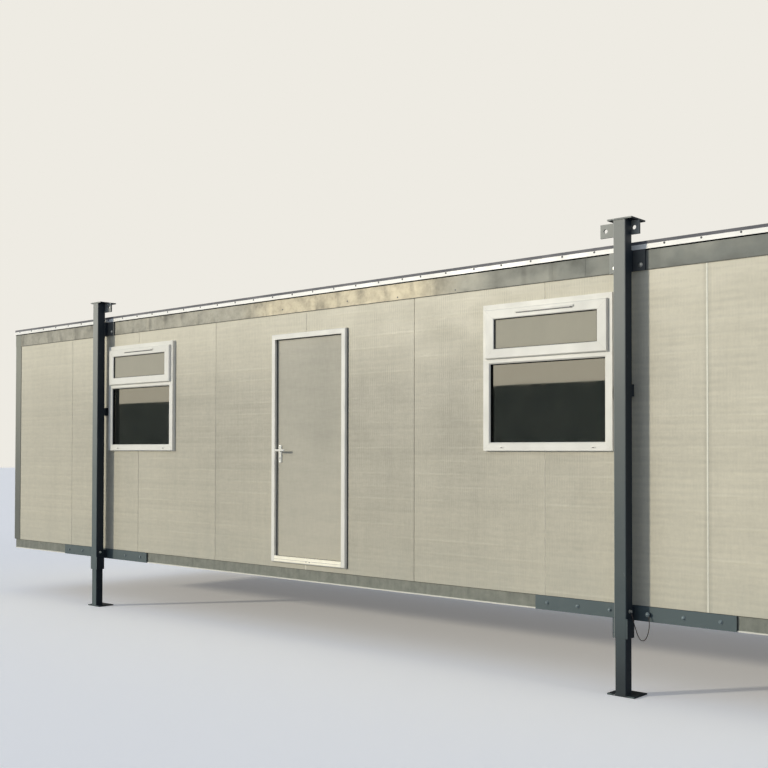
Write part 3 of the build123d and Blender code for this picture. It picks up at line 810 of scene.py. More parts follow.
class Finishes:
    """Every material of the cabin, made once."""

    def __init__(self) -> None:
        """Make the materials."""
        self.wall = StuccoSheet().build()
        self.leaf = LeafSheet().build()
        self.fascia = FasciaZinc().build()
        self.rail = RailZinc().build()
        self.trim = SatinPaint(
            "grey_trim", high=shade(140, 141, 129), low=shade(98, 101, 95),
            painted_shade=shade(122, 124, 115), scuff=shade(146, 146, 134), from_z=0.8,
            to_z=2.6).build()
        self.jack = SatinPaint(
            "jack_paint", high=shade(151, 153, 146), low=shade(79, 92, 94),
            painted_shade=shade(20, 29, 37), scuff=shade(100, 107, 107), from_z=0.5, to_z=2.95,
            dark_foot_x=POST_X, shadowed_bracket_y=1.573).build()
        self.white = FramePlastic().build()
        self.batten = FramePlastic("batten_plastic", clean=shade(243, 241, 233),
                                   dusty=shade(236, 234, 225), rough=0.34).build()
        self.pane = Glazing("pane_glass", tint=shade(70, 76, 72), dusty=shade(84, 88, 82),
                            clear=0.85, index=3.8, film=0.02).build()
        self.sash_glass = Glazing("sash_glass", tint=shade(182, 179, 162),
                                  dusty=shade(188, 184, 166), clear=0.35, index=2.0,
                                  film=0.04).build()
        self.floor = CoatedBoard("floor_board", shade(122, 98, 72), shade(88, 68, 48)).build()
        self.ceiling = CoatedBoard("ceiling_board", shade(232, 230, 220),
                                   shade(224, 221, 210), rough=0.6).build()
        self.roof = Plain("roof_sheet", (104, 104, 108), (86, 87, 92), 0.6, scale=3.0).build()
        self.zinc = Plain("zinc_plate", (212, 214, 210), (168, 172, 172), 0.24, metal=0.85,
                          scale=80.0).build()
        self.bolt = Plain("bolt_paint", (118, 132, 136), (82, 94, 98), 0.28, metal=0.2,
                          scale=60.0).build()
        self.screw = Plain("screw_zinc", (96, 98, 100), (72, 74, 78), 0.4, metal=0.5,
                           scale=80.0).build()
        self.rubber = Plain("gasket_rubber", (14, 14, 16), (22, 22, 24), 0.8,
                            gloss=0.06).build()
        self.bead = Plain("joint_bead", (232, 230, 212), (222, 220, 202)).build()
        self.seal = Plain("joint_seal", (104, 104, 94), (84, 84, 76), 0.7).build()
        self.weld = Plain("weld_line", (204, 200, 188), (192, 188, 176)).build()
        self.cord = Plain("cable_cover", (58, 51, 48), (40, 36, 36), 0.55, scale=120.0,
                          grain=0.0004).build()
        # Threshold plate: near-white, partly its own colour and partly painted reflection of
        # the light
        self.threshold = Plain("threshold_metal", (255, 250, 228), (248, 242, 218), 0.42,
                               scale=18.0).build()

    def of_node(self, name: str) -> Material:
        """Choose the material of a node that stays in view.

        Args:
            name: The node's name.

        Returns:
            The material of the first rule that the name fits, or else white plastic.
        """
        rules: tuple[tuple[tuple[str, ...], Material], ...] = (
            (("jack_", "lifting_", "spreader_"), self.jack),
            (("front_wall", "back_wall", "end_wall", "door_sill"), self.wall),
            (("corner_trim",), self.trim),
            (("fascia",), self.fascia),
            (("base_frame",), self.rail),
            (("edge_batten",), self.batten),
            (("roof_cover",), self.roof),
            (("roof",), self.ceiling),
            (("floor",), self.floor),
            (("door_leaf",), self.leaf),
            (("window_left_pane", "window_right_pane"), self.pane),
            (("window_left_sash_glass", "window_right_sash_glass"), self.sash_glass),
        )
        for starts, material in rules:
            if name.startswith(starts):
                return material
        return self.white


# ---------------------------------------------------------------- mesh work
def add_object(name: str, data: bpy.types.ID) -> bpy.types.Object:
    """Put a new object in the scene.

    Args:
        name: The object's name.
        data: Its mesh, curve, light or camera.

    Returns:
        The object.
    """
    made = bpy.data.objects.new(name, data)
    bpy.context.scene.collection.objects.link(made)
    return made


def add_mesh(name: str, mesh: Mesh, material: Material) -> bpy.types.Object:
    """Put a worked mesh in the scene as an object.

    Args:
        name: The object's name.
        mesh: Its mesh, which is used up.
        material: Its finish.

    Returns:
        The object.
    """
    data = bpy.data.meshes.new(name)
    mesh.to_mesh(data)
    mesh.free()
    data.materials.append(material)
    return add_object(name, data)


def finish_piece(name: str, mesh: Mesh, material: Material, body: str = "cabin",
                 stands_for: Sequence[str] = (), smooth: bool = True) -> None:
    """Turn a worked mesh into a piece that rides on a body.

    Args:
        name: The piece's name.
        mesh: Its mesh, which is used up.
        material: Its finish.
        body: Body that it moves with.
        stands_for: Nodes that it takes the place of.
        smooth: True to shade gentle edges smooth.
    """
    bmesh.ops.remove_doubles(mesh, verts=mesh.verts, dist=MERGE)
    bmesh.ops.recalc_face_normals(mesh, faces=mesh.faces)
    for face in mesh.faces:
        face.smooth = smooth and face.calc_area() < LARGE_FACE
    for edge in mesh.edges:
        edge.smooth = len(edge.link_faces) == 2 and edge.calc_face_angle(0.0) < SHARP
    piece = add_mesh(name, mesh, material)
    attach(piece, body)
    if stands_for:
        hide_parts(*stands_for)
    LOG.info("piece %s: %d faces on %s", name, len(piece.data.polygons), body)


def only(kind: type, items: Sequence[object]) -> list[object]:
    """Those of an operator's items that are of one kind."""
    return [item for item in items if isinstance(item, kind)]


def block(mesh: Mesh, low: Point, high: Point, bevel: float = 0.0, segments: int = 2) -> None:
    """Add a block between two corners, with its edges rounded.

    Args:
        mesh: Mesh that takes the block.
        low: Lowest corner.
        high: Highest corner.
        bevel: Width of the rounded edges.
        segments: Steps in each rounded edge.
    """
    size = [b - a for a, b in zip(low, high)]
    middle = [(a + b) / 2 for a, b in zip(low, high)]
    made = bmesh.ops.create_cube(mesh, size=1.0, matrix=Matrix.LocRotScale(
        Vector(middle), None, Vector(size)))
    if bevel:
        edges = {edge for vert in made["verts"] for edge in vert.link_edges}
        bmesh.ops.bevel(mesh, geom=list(edges), offset=bevel, affect="EDGES",
                        segments=segments, profile=0.5, material=-1)


def quarter_block(mesh: Mesh, sx: int, sy: int, near: Point, far: Point, bevel: float) -> None:
    """Add a block whose corners are given for the back right quarter of the cabin.

    Args:
        mesh: Mesh that takes the block.
        sx: Sign along X of the quarter that it goes to.
        sy: Sign along Y of the quarter that it goes to.
        near: Lowest corner in the back right quarter.
        far: Highest corner in the back right quarter.
        bevel: Width of its edges.
    """
    (x0, x1), (y0, y1) = (sorted((sign * near[axis], sign * far[axis]))
                          for axis, sign in enumerate((sx, sy)))
    block(mesh, (x0, y0, near[2]), (x1, y1, far[2]), bevel, 1)


def turned(mesh: Mesh, profile: Rows, place: Matrix, steps: int) -> None:
    """Add a turned part.

    Args:
        mesh: Mesh that takes the part.
        profile: Radius and height of each point from foot to top.
        place: Frame whose Z is the turning axis.
        steps: Faces round the part.
    """
    verts = [mesh.verts.new(place @ Vector((radius, 0.0, height)))
             for radius, height in profile]
    edges = [mesh.edges.new(pair) for pair in zip(verts, verts[1:])]
    bmesh.ops.spin(mesh, geom=verts + edges, cent=place.translation,
                   axis=place.to_3x3() @ Vector((0.0, 0.0, 1.0)), dvec=(0.0, 0.0, 0.0),
                   angle=2 * math.pi, steps=steps, use_merge=True, use_duplicate=False)


def raised_ring(mesh: Mesh, corners: Sequence[Point], width: float, push: Point,
                bevel: float = 0.0) -> None:
    """Add a ring inside a rectangle, pushed up to its height.

    Args:
        mesh: Mesh that takes the ring.
        corners: Outer corners of its back face, in turn.
        width: Width of its members, inwards.
        push: Way from the back face to the front one.
        bevel: Width of the rounded front edges.
    """
    middle = mesh.faces.new([mesh.verts.new(corner) for corner in corners])
    middle.normal_update()
    ring = bmesh.ops.inset_individual(mesh, faces=[middle], thickness=width,
                                      use_even_offset=True)["faces"]
    bmesh.ops.delete(mesh, geom=[middle], context="FACES_ONLY")
    grown = bmesh.ops.extrude_face_region(mesh, geom=list(ring), use_keep_orig=True)["geom"]
    bmesh.ops.translate(mesh, verts=only(bmesh.types.BMVert, grown), vec=push)
    if bevel:
        faces = only(bmesh.types.BMFace, grown)
        edges = {edge for face in faces for edge in face.edges
                 if any(other not in faces for other in edge.link_faces)}
        bmesh.ops.bevel(mesh, geom=list(edges), offset=bevel, affect="EDGES",
                        segments=2, profile=0.5, material=-1)


def wall_ring(mesh: Mesh, low: tuple[float, float], high: tuple[float, float], width: float,
              back: float, front: float, bevel: float) -> None:
    """Add an upright rectangular ring that lies along the wall.

    Args:
        mesh: Mesh that takes the ring.
        low: Lowest outer X and Z.
        high: Highest outer X and Z.
        width: Width of the ring's members, inwards.
        back: Y of its back.
        front: Y of its front.
        bevel: Width of the rounded front edges.
    """
    corners = [(x, back, z) for x, z in ((low[0], low[1]), (high[0], low[1]),
                                         (high[0], high[1]), (low[0], high[1]))]
    raised_ring(mesh, corners, width, (0.0, front - back, 0.0), bevel)


def plan_ring(mesh: Mesh, out: float, width: float, low: float, high: float) -> None:
    """Add a level rectangular ring round the cabin.

    Args:
        mesh: Mesh that takes the ring.
        out: How far it stands out from the wall panels.
        width: Width of the ring, inwards.
        low: Z of its underside.
        high: Z of its top.
    """
    x, y = PANEL_X + out, WALL_Y + out
    raised_ring(mesh, [(-x, -y, low), (x, -y, low), (x, y, low), (-x, y, low)], width,
                (0.0, 0.0, high - low))


def rounded_plate(mesh: Mesh, size: Point, radius: float, edge: float, place: Matrix) -> None:
    """Add a plate with round corners and a softened front edge.

    Args:
        mesh: Mesh that takes the plate.
        size: Width, height and thickness, along the plate's own axes.
        radius: Radius of its corners.
        edge: Width of the softened front edge.
        place: Frame with its origin in the middle of the back face.
    """
    width, height, thick = size
    work = bmesh.new()
    bmesh.ops.create_grid(work, x_segments=1, y_segments=1, size=0.5)
    bmesh.ops.scale(work, vec=(width, height, 1.0), verts=work.verts)
    bmesh.ops.bevel(work, geom=list(work.verts), offset=radius, affect="VERTICES",
                    segments=6, profile=0.5, material=-1)
    grown = bmesh.ops.extrude_face_region(work, geom=list(work.faces),
                                          use_keep_orig=True)["geom"]
    bmesh.ops.translate(work, verts=only(bmesh.types.BMVert, grown), vec=(0.0, 0.0, thick))
    rim = {item for face in only(bmesh.types.BMFace, grown) for item in face.edges}
    bmesh.ops.bevel(work, geom=list(rim), offset=edge, affect="EDGES", segments=3,
                    profile=0.5, material=-1)
    merge(mesh, work, place)


def merge(mesh: Mesh, other: Mesh, place: Matrix) -> None:
    """Add another mesh to a mesh and free it.

    Args:
        mesh: Mesh that takes the other.
        other: Mesh that is used up.
        place: Frame that the other mesh goes to.
    """
    bmesh.ops.transform(other, matrix=place, verts=other.verts)
    data = bpy.data.meshes.new("merge")
    other.to_mesh(data)
    other.free()
    mesh.from_mesh(data)
    bpy.data.meshes.remove(data)


# ---------------------------------------------------------------- fixings
@dataclass
class BoltHeads:
    """Domed bolt heads on washers along the spreaders and on the top brackets."""

    finishes: Finishes
    dome: float = 0.0120
    dome_steps: int = 5
    rise: float = 0.008
    washer: float = 0.0155
    washer_t: float = 0.0025
    washer_edge: float = 0.0006
    foot: float = -0.002
    left_x: tuple[float, ...] = (-3.743, -3.486, -2.701, -2.447)
    right_x: tuple[float, ...] = (2.402, 2.652, 2.904, 3.44, 3.691)
    middle_x: float = 3.192
    tied_x: float = 3.195
    tied_out: float = 0.020
    rail_z: float = 0.536
    bracket_x: tuple[float, float] = (2.957, 3.147)
    bracket_t: float = 0.010
    bracket_z: float = 2.85

    def head(self, mesh: Mesh, place: Matrix) -> None:
        """Add one dome on its washer.

        Args:
            mesh: Mesh that takes the bolt.
            place: Frame on the plate, looking outwards.
        """
        top = self.washer_t
        rows = [(0.0, self.foot), (self.washer, self.foot),
                (self.washer, top - self.washer_edge), (self.washer - self.washer_edge, top),
                (self.dome, top)]
        for step in range(1, self.dome_steps):
            turn = step / self.dome_steps * math.pi / 2
            rows.append((self.dome * math.cos(turn), top + self.rise * math.sin(turn)))
        rows.append((0.0, top + self.rise))
        turned(mesh, rows, place, 18)

    def along_spreader(self, corner: Corner) -> list[tuple[float, float]]:
        """Places of the bolts on one spreader.

        Args:
            corner: The jack leg's corner.

        Returns:
            X and Y of each bolt. The one that the lanyard is tied to stands further out.
        """
        if corner is Corner.FRONT_RIGHT:
            return [(x, -SPREADER_Y) for x in self.right_x] + [
                (self.tied_x, -SPREADER_Y - self.tied_out)]
        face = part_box(f"spreader_{corner.tag}")[0 if corner.sy < 0 else 1][1]
        along = (*self.right_x, self.middle_x) if corner.sx > 0 else self.left_x
        return [(x, face) for x in along]

    def build(self) -> None:
        """Make the bolts of the four spreaders and the four brackets."""
        for corner in Corner:
            mesh = bmesh.new()
            for x, y in self.along_spreader(corner):
                self.head(mesh, corner.facing.at((x, y, self.rail_z)))
            finish_piece(f"spreader_bolts_{corner.tag}", mesh, self.finishes.bolt)
            mesh = bmesh.new()
            y = corner.sy * (FASCIA_Y + self.bracket_t)
            for x in self.bracket_x:
                self.head(mesh, corner.facing.at((corner.sx * x, y, self.bracket_z)))
            finish_piece(f"bracket_bolts_{corner.tag}", mesh, self.finishes.zinc)


@dataclass
class BattenScrews:
    """Small screws with dark washers along the white batten, on all four sides."""

    finishes: Finishes
    height: float = 2.976
    shown: tuple[float, ...] = (1.053, 1.242, 1.494, 1.763, 2.014, 2.273, 2.538, 2.795,
                                3.058, 3.319, 3.576, 3.839, 4.092, 4.348, 4.604, 4.84)
    pitch: float = 0.2545
    margin: float = 0.04
    end_out: float = 0.013
    end_pitch: float = 0.28
    end_half: int = 5
    profile: Rows = ((0.0, -SUNK), (0.0075, -SUNK), (0.0075, 0.0012), (0.0045, 0.0018),
                     (0.0045, 0.0045), (0.0, 0.0052))

    def row(self, name: str, places: Sequence[Matrix]) -> None:
        """Make the screws of one side as one piece.

        Args:
            name: The side's name.
            places: Frames on the batten, looking outwards.
        """
        mesh = bmesh.new()
        for place in places:
            turned(mesh, self.profile, place, 12)
        finish_piece(f"batten_screws_{name}", mesh, self.finishes.screw)

    def build(self) -> None:
        """Make the screws of the long sides and of the ends."""
        along = list(self.shown)
        x = self.shown[0] - self.pitch
        while x > self.margin - PANEL_X:
            along.append(x)
            x -= self.pitch
        for name, facing, y in (("front", Facing.FRONT, -BATTEN_Y),
                                ("back", Facing.BACK, BATTEN_Y)):
            self.row(name, [facing.at((x, y, self.height)) for x in along])
        out = PANEL_X + self.end_out
        self.row("ends", [facing.at((x, step * self.end_pitch, self.height))
                          for step in range(-self.end_half, self.end_half + 1)
                          for facing, x in ((Facing.LEFT, -out), (Facing.RIGHT, out))])


# ---------------------------------------------------------------- sheet metal
@dataclass
class TopEdge:
    """Small sheet parts of the top edge: lip, dark strip of painted shadow under the batten,
    hem, laps, rivets and caps.
    """

    finishes: Finishes
    shadow_strip_h: float = 0.009
    hem_h: float = 0.004
    lap_x: tuple[float, ...] = (-3.70, -2.12, -0.62, 1.282, 2.669, 4.20)
    lap_w: float = 0.05
    lap_in: float = 0.0005
    lap_out: float = 0.0012
    rivets_at: tuple[tuple[float, float], ...] = ((-0.351, 2.856), (0.439, 2.857),
                                                  (0.994, 2.838), (1.579, 2.838))
    rivet: Rows = ((0.0, -SUNK), (0.0075, -SUNK), (0.0066, 0.0016), (0.0, 0.0026))
    cap_out: float = 0.0048
    cap_w: float = 0.112
    cap_t: float = 0.0016
    cap_gap: float = 0.0022

    def build(self) -> None:
        """Make the parts."""
        self.rings()
        self.laps()
        self.rivets()
        for corner in Corner:
            self.corner_cap(corner)

    def rings(self) -> None:
        """Make the batten's lip, the dark strip under it that is painted shadow of the batten,
        and the channel's hem.
        """
        for name, out, width, low, high, material, slot in (
                ("batten_lip", 0.016, 0.004, BATTEN_FOOT - 0.002, BATTEN_FOOT + 0.004,
                 self.finishes.batten, "white_plastic"),
                # Dark strip under the batten: painted shadow
                ("batten_shadow_strip", 0.0055, 0.003, BATTEN_FOOT - self.shadow_strip_h,
                 BATTEN_FOOT - 0.0005, self.finishes.rubber, "lanyard"),
                ("fascia_hem", 0.0045, 0.003, FASCIA_FOOT - SUNK, FASCIA_FOOT + self.hem_h,
                 self.finishes.seal, "galvanised")):
            mesh = bmesh.new()
            plan_ring(mesh, out, width, low, high)
            finish_piece(name, mesh, material, smooth=False)

    def laps(self) -> None:
        """Make the laps of the top channel's lengths, front and back."""
        back, face = FASCIA_Y - self.lap_in, FASCIA_Y + self.lap_out
        foot, top = FASCIA_FOOT + self.hem_h, BATTEN_FOOT - self.shadow_strip_h
        for sy, name in ((-1, "front"), (1, "back")):
            mesh = bmesh.new()
            for x in self.lap_x:
                quarter_block(mesh, 1, sy, (x, back, foot), (x + self.lap_w, face, top), 0.0005)
            finish_piece(f"fascia_laps_{name}", mesh, self.finishes.fascia,
                         smooth=False)

    def rivets(self) -> None:
        """Make the rivets in the front of the top channel."""
        mesh = bmesh.new()
        for x, z in self.rivets_at:
            turned(mesh, self.rivet, Facing.FRONT.at((x, -FASCIA_Y, z)), 14)
        finish_piece("fascia_rivets", mesh, self.finishes.screw)

    def corner_cap(self, corner: Corner) -> None:
        """Make the folded cap that carries a corner trim up over the top channel.

        Args:
            corner: The cabin's corner.
        """
        x, y = PANEL_X + self.cap_out, WALL_Y + self.cap_out
        foot, top = FASCIA_FOOT - SUNK, BATTEN_FOOT - self.cap_gap
        mesh = bmesh.new()
        for wide_x, wide_y in ((self.cap_w, self.cap_t), (self.cap_t, self.cap_w)):
            quarter_block(mesh, corner.sx, corner.sy, (x - wide_x, y - wide_y, foot),
                          (x, y, top), 0.0004)
        finish_piece(f"corner_cap_{corner.tag}", mesh, self.finishes.trim,
                     smooth=False)


@dataclass
class JointSeals:
    """Beads of sealant beside the corner trims, and the pale one in a panel joint."""

    finishes: Finishes
    width: float = 0.007
    proud: float = 0.0015
    bead_x: float = 3.607
    bead_half: float = 0.005
    bead_back: float = 0.003

    def build(self) -> None:
        """Make the beads of the four corners and the one in the joint."""
        inner_x, inner_y = PANEL_X - TRIM_W, WALL_Y - TRIM_W
        mesh = bmesh.new()
        for corner in Corner:
            for near, far in (
                    ((inner_x - self.width, WALL_Y - SUNK), (inner_x, WALL_Y + self.proud)),
                    ((PANEL_X - SUNK, inner_y - self.width), (PANEL_X + self.proud, inner_y))):
                quarter_block(mesh, corner.sx, corner.sy, (*near, PANEL_FOOT),
                              (*far, FASCIA_FOOT), 0.0006)
        finish_piece("trim_seals", mesh, self.finishes.seal, smooth=False)
        mesh = bmesh.new()
        block(mesh, (self.bead_x - self.bead_half, -WALL_Y - self.proud, PANEL_FOOT),
              (self.bead_x + self.bead_half, -WALL_Y + self.bead_back, FASCIA_FOOT), 0.0012)
        finish_piece("panel_joint_bead", mesh, self.finishes.bead)


# ---------------------------------------------------------------- windows
@dataclass
class WindowFittings:
    """Gaskets that also stand for the shade in the reveals, vent with painted shade in its gap,
    drain caps, wall seal and mitre lines of one window.
    """

    finishes: Finishes
    side: str
    gaskets_at: tuple[tuple[str, float, float], ...] = (("pane", 0.0065, 0.014),
                                                        ("sash_glass", 0.005, 0.009))
    gasket_lap: float = 0.002
    vent_from: float = 0.308
    vent_to: float = 0.779
    vent_down: float = 0.078
    vent_over: float = 0.012
    vent_out: float = 0.008
    gap_shade_out: float = 0.004
    gap_shade_down: float = 0.003
    knob_w: float = 0.020
    drain_at: tuple[float, float] = (0.166, 0.931)
    drain_up: float = 0.024
    drain_size: Point = (0.034, 0.012, 0.005)
    seal_out: float = 0.005
    seal_w: float = 0.008
    members: tuple[tuple[str, float], ...] = (("frame", 0.060), ("sash", 0.085))
    mitre_share: float = 0.72 / 1.45
    edge: float = 0.0012

    def build(self) -> None:
        """Make the window's small parts."""
        self.gaskets_and_reveal_shade()
        self.vent()
        self.drains()
        self.outer_seal()
        self.mitres()

    def box(self, part: str) -> Sequence[Sequence[float]]:
        """Lowest and highest corners of a part of this window."""
        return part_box(f"window_{self.side}_{part}")

    def gaskets_and_reveal_shade(self) -> None:
        """Make the black gaskets that hold the two glass units, raised over the reveals so that
        they also stand for the shade in them: partly painted shade.
        """
        for glass, wide, rise in self.gaskets_at:
            low, high = self.box(glass)
            under = wide - self.gasket_lap
            mesh = bmesh.new()
            wall_ring(mesh, (low[0] - SUNK, low[2] - under), (high[0] + under, high[2] + SUNK),
                      wide, low[1] + self.gasket_lap, low[1] - rise, self.edge)
            finish_piece(f"window_{self.side}_{glass}_gasket", mesh, self.finishes.rubber)

    def vent(self) -> None:
        """Make the slim vent canopy on the head of the top light, a dark strip of painted shade
        in the gap under it, and its knob.
        """
        frame_low, frame_high = self.box("frame")
        face = self.box("sash")[0][1]
        x0, x1 = frame_low[0] + self.vent_from, frame_low[0] + self.vent_to
        z = frame_high[2] - self.vent_down
        back, foot = face + SUNK, z - self.gap_shade_down
        mesh = bmesh.new()
        block(mesh, (x0 - self.vent_over, face - self.vent_out, z + 0.003),
              (x1 + self.vent_over, back, z + 0.017), 0.0035, 3)
        finish_piece(f"window_{self.side}_vent", mesh, self.finishes.white)
        mesh = bmesh.new()
        block(mesh, (x0, face - self.gap_shade_out, foot), (x1, back, z + 0.004), 0.001, 1)
        block(mesh, (x1 - self.knob_w, face - self.vent_out, foot), (x1, back, z + 0.009),
              0.003)
        finish_piece(f"window_{self.side}_vent_gap_shade_and_knob", mesh, self.finishes.screw)

    def drains(self) -> None:
        """Make the two drain caps in the foot of the frame, and the slots in them."""
        low, _ = self.box("frame")
        caps, slots = bmesh.new(), bmesh.new()
        for at in self.drain_at:
            x, y, z = low[0] + at, low[1], low[2] + self.drain_up
            rounded_plate(caps, self.drain_size, 0.005, 0.0015,
                          Facing.FRONT.at((x, y + 0.0005, z)))
            block(slots, (x - 0.006, y - 0.0052, z - 0.0045), (x + 0.010, y - 0.003, z + 0.001),
                  0.0006, 1)
        finish_piece(f"window_{self.side}_drains", caps, self.finishes.white)
        finish_piece(f"window_{self.side}_drain_slots", slots, self.finishes.screw)

    def outer_seal(self) -> None:
        """Make the bead of sealant between frame and wall."""
        low, high = self.box("frame")
        mesh = bmesh.new()
        wall_ring(mesh, (low[0] - self.seal_out, low[2] - self.seal_out),
                  (high[0] + self.seal_out, high[2] + self.seal_out), self.seal_w,
                  -WALL_Y + SUNK, -WALL_Y - 0.003, self.edge)
        finish_piece(f"window_{self.side}_seal", mesh, self.finishes.white)

    def mitres(self) -> None:
        """Make the fine weld lines across the corners of frame and sash."""
        mesh = bmesh.new()
        for part, face in self.members:
            low, high = self.box(part)
            half, reach = face / 2, face * self.mitre_share
            for x, sx in ((low[0], 1), (high[0], -1)):
                for z, sz in ((low[2], 1), (high[2], -1)):
                    line = bmesh.new()
                    block(line, (-reach, -0.0003, -0.0004), (reach, 0.0003, 0.0004))
                    merge(mesh, line,
                          Matrix.Translation((x + sx * half, low[1], z + sz * half))
                          @ Matrix.Rotation(-sx * sz * math.pi / 4, 4, "Y"))
        finish_piece(f"window_{self.side}_mitres", mesh, self.finishes.weld,
                     smooth=False)


# ---------------------------------------------------------------- door
@dataclass
class DoorFittings:
    """Frame section, seals, a strip of painted shadow beside the frame, threshold, backplates,
    cylinders and lever of the door.
    """

    finishes: Finishes
    frame_slope: tuple[float, float] = (0.007, 0.007)
    frame_arris: float = 0.003
    frame_round: float = 0.0028
    leaf_y: float = -1.548
    leaf_t: float = 0.048
    stop_w: float = 0.036
    stop_foot: float = 0.042
    seal_w: float = 0.014
    threshold_in: float = 0.046
    pivot: tuple[float, float] = (-0.376, 1.614)
    plate: Point = (0.036, 0.156, 0.009)
    plate_z: float = 1.583
    screw_away: float = 0.068
    keyhole_z: float = 1.540
    keyway_half: float = 0.0011
    grip_len: float = 0.110
    grip_h: float = 0.017
    grips_y: tuple[tuple[float, float], ...] = ((-1.613, -1.603), (-1.445, -1.435))
    spindle_y: float = -1.4425
    spindle: Rows = ((0.0, 0.0), (0.0095, 0.0), (0.0082, 0.006), (0.0074, 0.018),
                     (0.0074, 0.145), (0.0082, 0.157), (0.0095, 0.163), (0.0, 0.163))
    threshold_screw: Rows = ((0.0, -SUNK), (0.0045, -SUNK), (0.0045, 0.0008), (0.0, 0.0016))

    def build(self) -> None:
        """Make the door's small parts."""
        self.frame_section()
        self.frame_shadow_strip()
        self.leaf_seal_and_shadow()
        self.threshold()
        for name, facing, y, out in (("outer", Facing.FRONT, self.leaf_y, -1),
                                     ("inner", Facing.BACK, self.leaf_y + self.leaf_t, 1)):
            self.backplate(name, facing, y, out)
        self.lever()

    def frame_section(self) -> None:
        """Make the door frame with the rounded outer edge of its section."""
        low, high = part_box("door_frame")
        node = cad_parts["door_frame"]
        mesh = bmesh.new()
        mesh.from_mesh(node.data)
        bmesh.ops.transform(mesh, matrix=node.matrix_world, verts=mesh.verts)
        bmesh.ops.remove_doubles(mesh, verts=mesh.verts, dist=MERGE)
        bmesh.ops.dissolve_limit(mesh, angle_limit=math.radians(1), verts=mesh.verts,
                                 edges=mesh.edges)
        near, arris = 10 * MERGE, self.frame_arris
        inwards, back = (size - arris for size in self.frame_slope)
        sides = ((0, low[0], 1), (0, high[0], -1), (2, low[2], 1), (2, high[2], -1))
        rims: list[bmesh.types.BMVert] = []
        for vert in mesh.verts:
            inset = min(sign * (vert.co[axis] - edge) for axis, edge, sign in sides)
            depth = vert.co[1] - low[1]
            if abs(depth) < near and abs(inset - arris) < near:
                for axis, edge, sign in sides:
                    if abs(vert.co[axis] - edge - sign * arris) < near:
                        vert.co[axis] += sign * inwards
                rims.append(vert)
            elif abs(depth - arris) < near and abs(inset) < near:
                vert.co[1] += back
                rims.append(vert)
        around = [edge for edge in mesh.edges if all(vert in rims for vert in edge.verts)
                  and abs(edge.verts[0].co[1] - edge.verts[1].co[1]) < near]
        bmesh.ops.bevel(mesh, geom=around, offset=self.frame_round, affect="EDGES",
                        segments=3, profile=0.5, material=-1)
        finish_piece("door_frame_section", mesh, self.finishes.white,
                     stands_for=["door_frame"])

    def frame_shadow_strip(self) -> None:
        """Make the thin dark strip between the frame's right side and the wall: painted shadow
        of the frame on the wall.
        """
        low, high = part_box("door_frame")
        mesh = bmesh.new()
        block(mesh, (high[0] - SUNK, -WALL_Y - 0.002, low[2]),
              (high[0] + 0.007, -WALL_Y + SUNK, high[2]), 0.0008, 1)
        finish_piece("door_frame_shadow_strip", mesh, self.finishes.rubber, smooth=False)

    def leaf_seal_and_shadow(self) -> None:
        """Make the dark seal between stop and leaf, wide enough to stand also for the frame's
        shadow on the leaf: partly painted shadow.
        """
        low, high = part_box("door_frame")
        mesh = bmesh.new()
        wall_ring(mesh, (low[0] + self.stop_w, low[2] + self.stop_foot),
                  (high[0] - self.stop_w, high[2] - self.stop_w), self.seal_w,
                  self.leaf_y - 0.0006, self.leaf_y - 0.0052, 0.001)
        finish_piece("door_seal_and_shadow", mesh, self.finishes.rubber)

    def threshold(self) -> None:
        """Make the plate over the foot of the frame, near-white partly as painted reflection,
        its line and its screws.
        """
        low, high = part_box("door_frame")
        x0, x1 = low[0] + self.threshold_in, high[0] - self.threshold_in
        y, z = low[1], low[2]
        mesh = bmesh.new()
        block(mesh, (x0, y - 0.0016, z + 0.010), (x1, y + SUNK, z + 0.0535), 0.0008)
        block(mesh, (x0, y, z + 0.0525), (x1, y + 0.022, z + 0.0545), 0.0006, 1)
        finish_piece("door_threshold", mesh, self.finishes.threshold)
        mesh = bmesh.new()
        block(mesh, (x0, y - 0.0022, z + 0.026), (x1, y - SUNK, z + 0.030))
        finish_piece("door_threshold_line", mesh, self.finishes.weld,
                     smooth=False)
        mesh = bmesh.new()
        for beside in (-0.005, 0.035):
            turned(mesh, self.threshold_screw,
                   Facing.FRONT.at(((x0 + x1) / 2 + beside, y - 0.0016, z + 0.024)), 12)
        finish_piece("door_threshold_screws", mesh, self.finishes.screw)

    def knob(self, mesh: Mesh, top: Rows, place: Matrix, steps: int) -> None:
        """Add a turned knob that stands in the backplate.

        Args:
            mesh: Mesh that takes the knob.
            top: Radius, and height over the plate, from its side to its middle.
            place: Frame on the leaf under the knob.
            steps: Faces round the knob.
        """
        thick = self.plate[2]
        foot = ((0.0, thick - 0.002), (top[0][0], thick - 0.002))
        turned(mesh, (*foot, *((radius, thick + height) for radius, height in top)), place,
               steps)

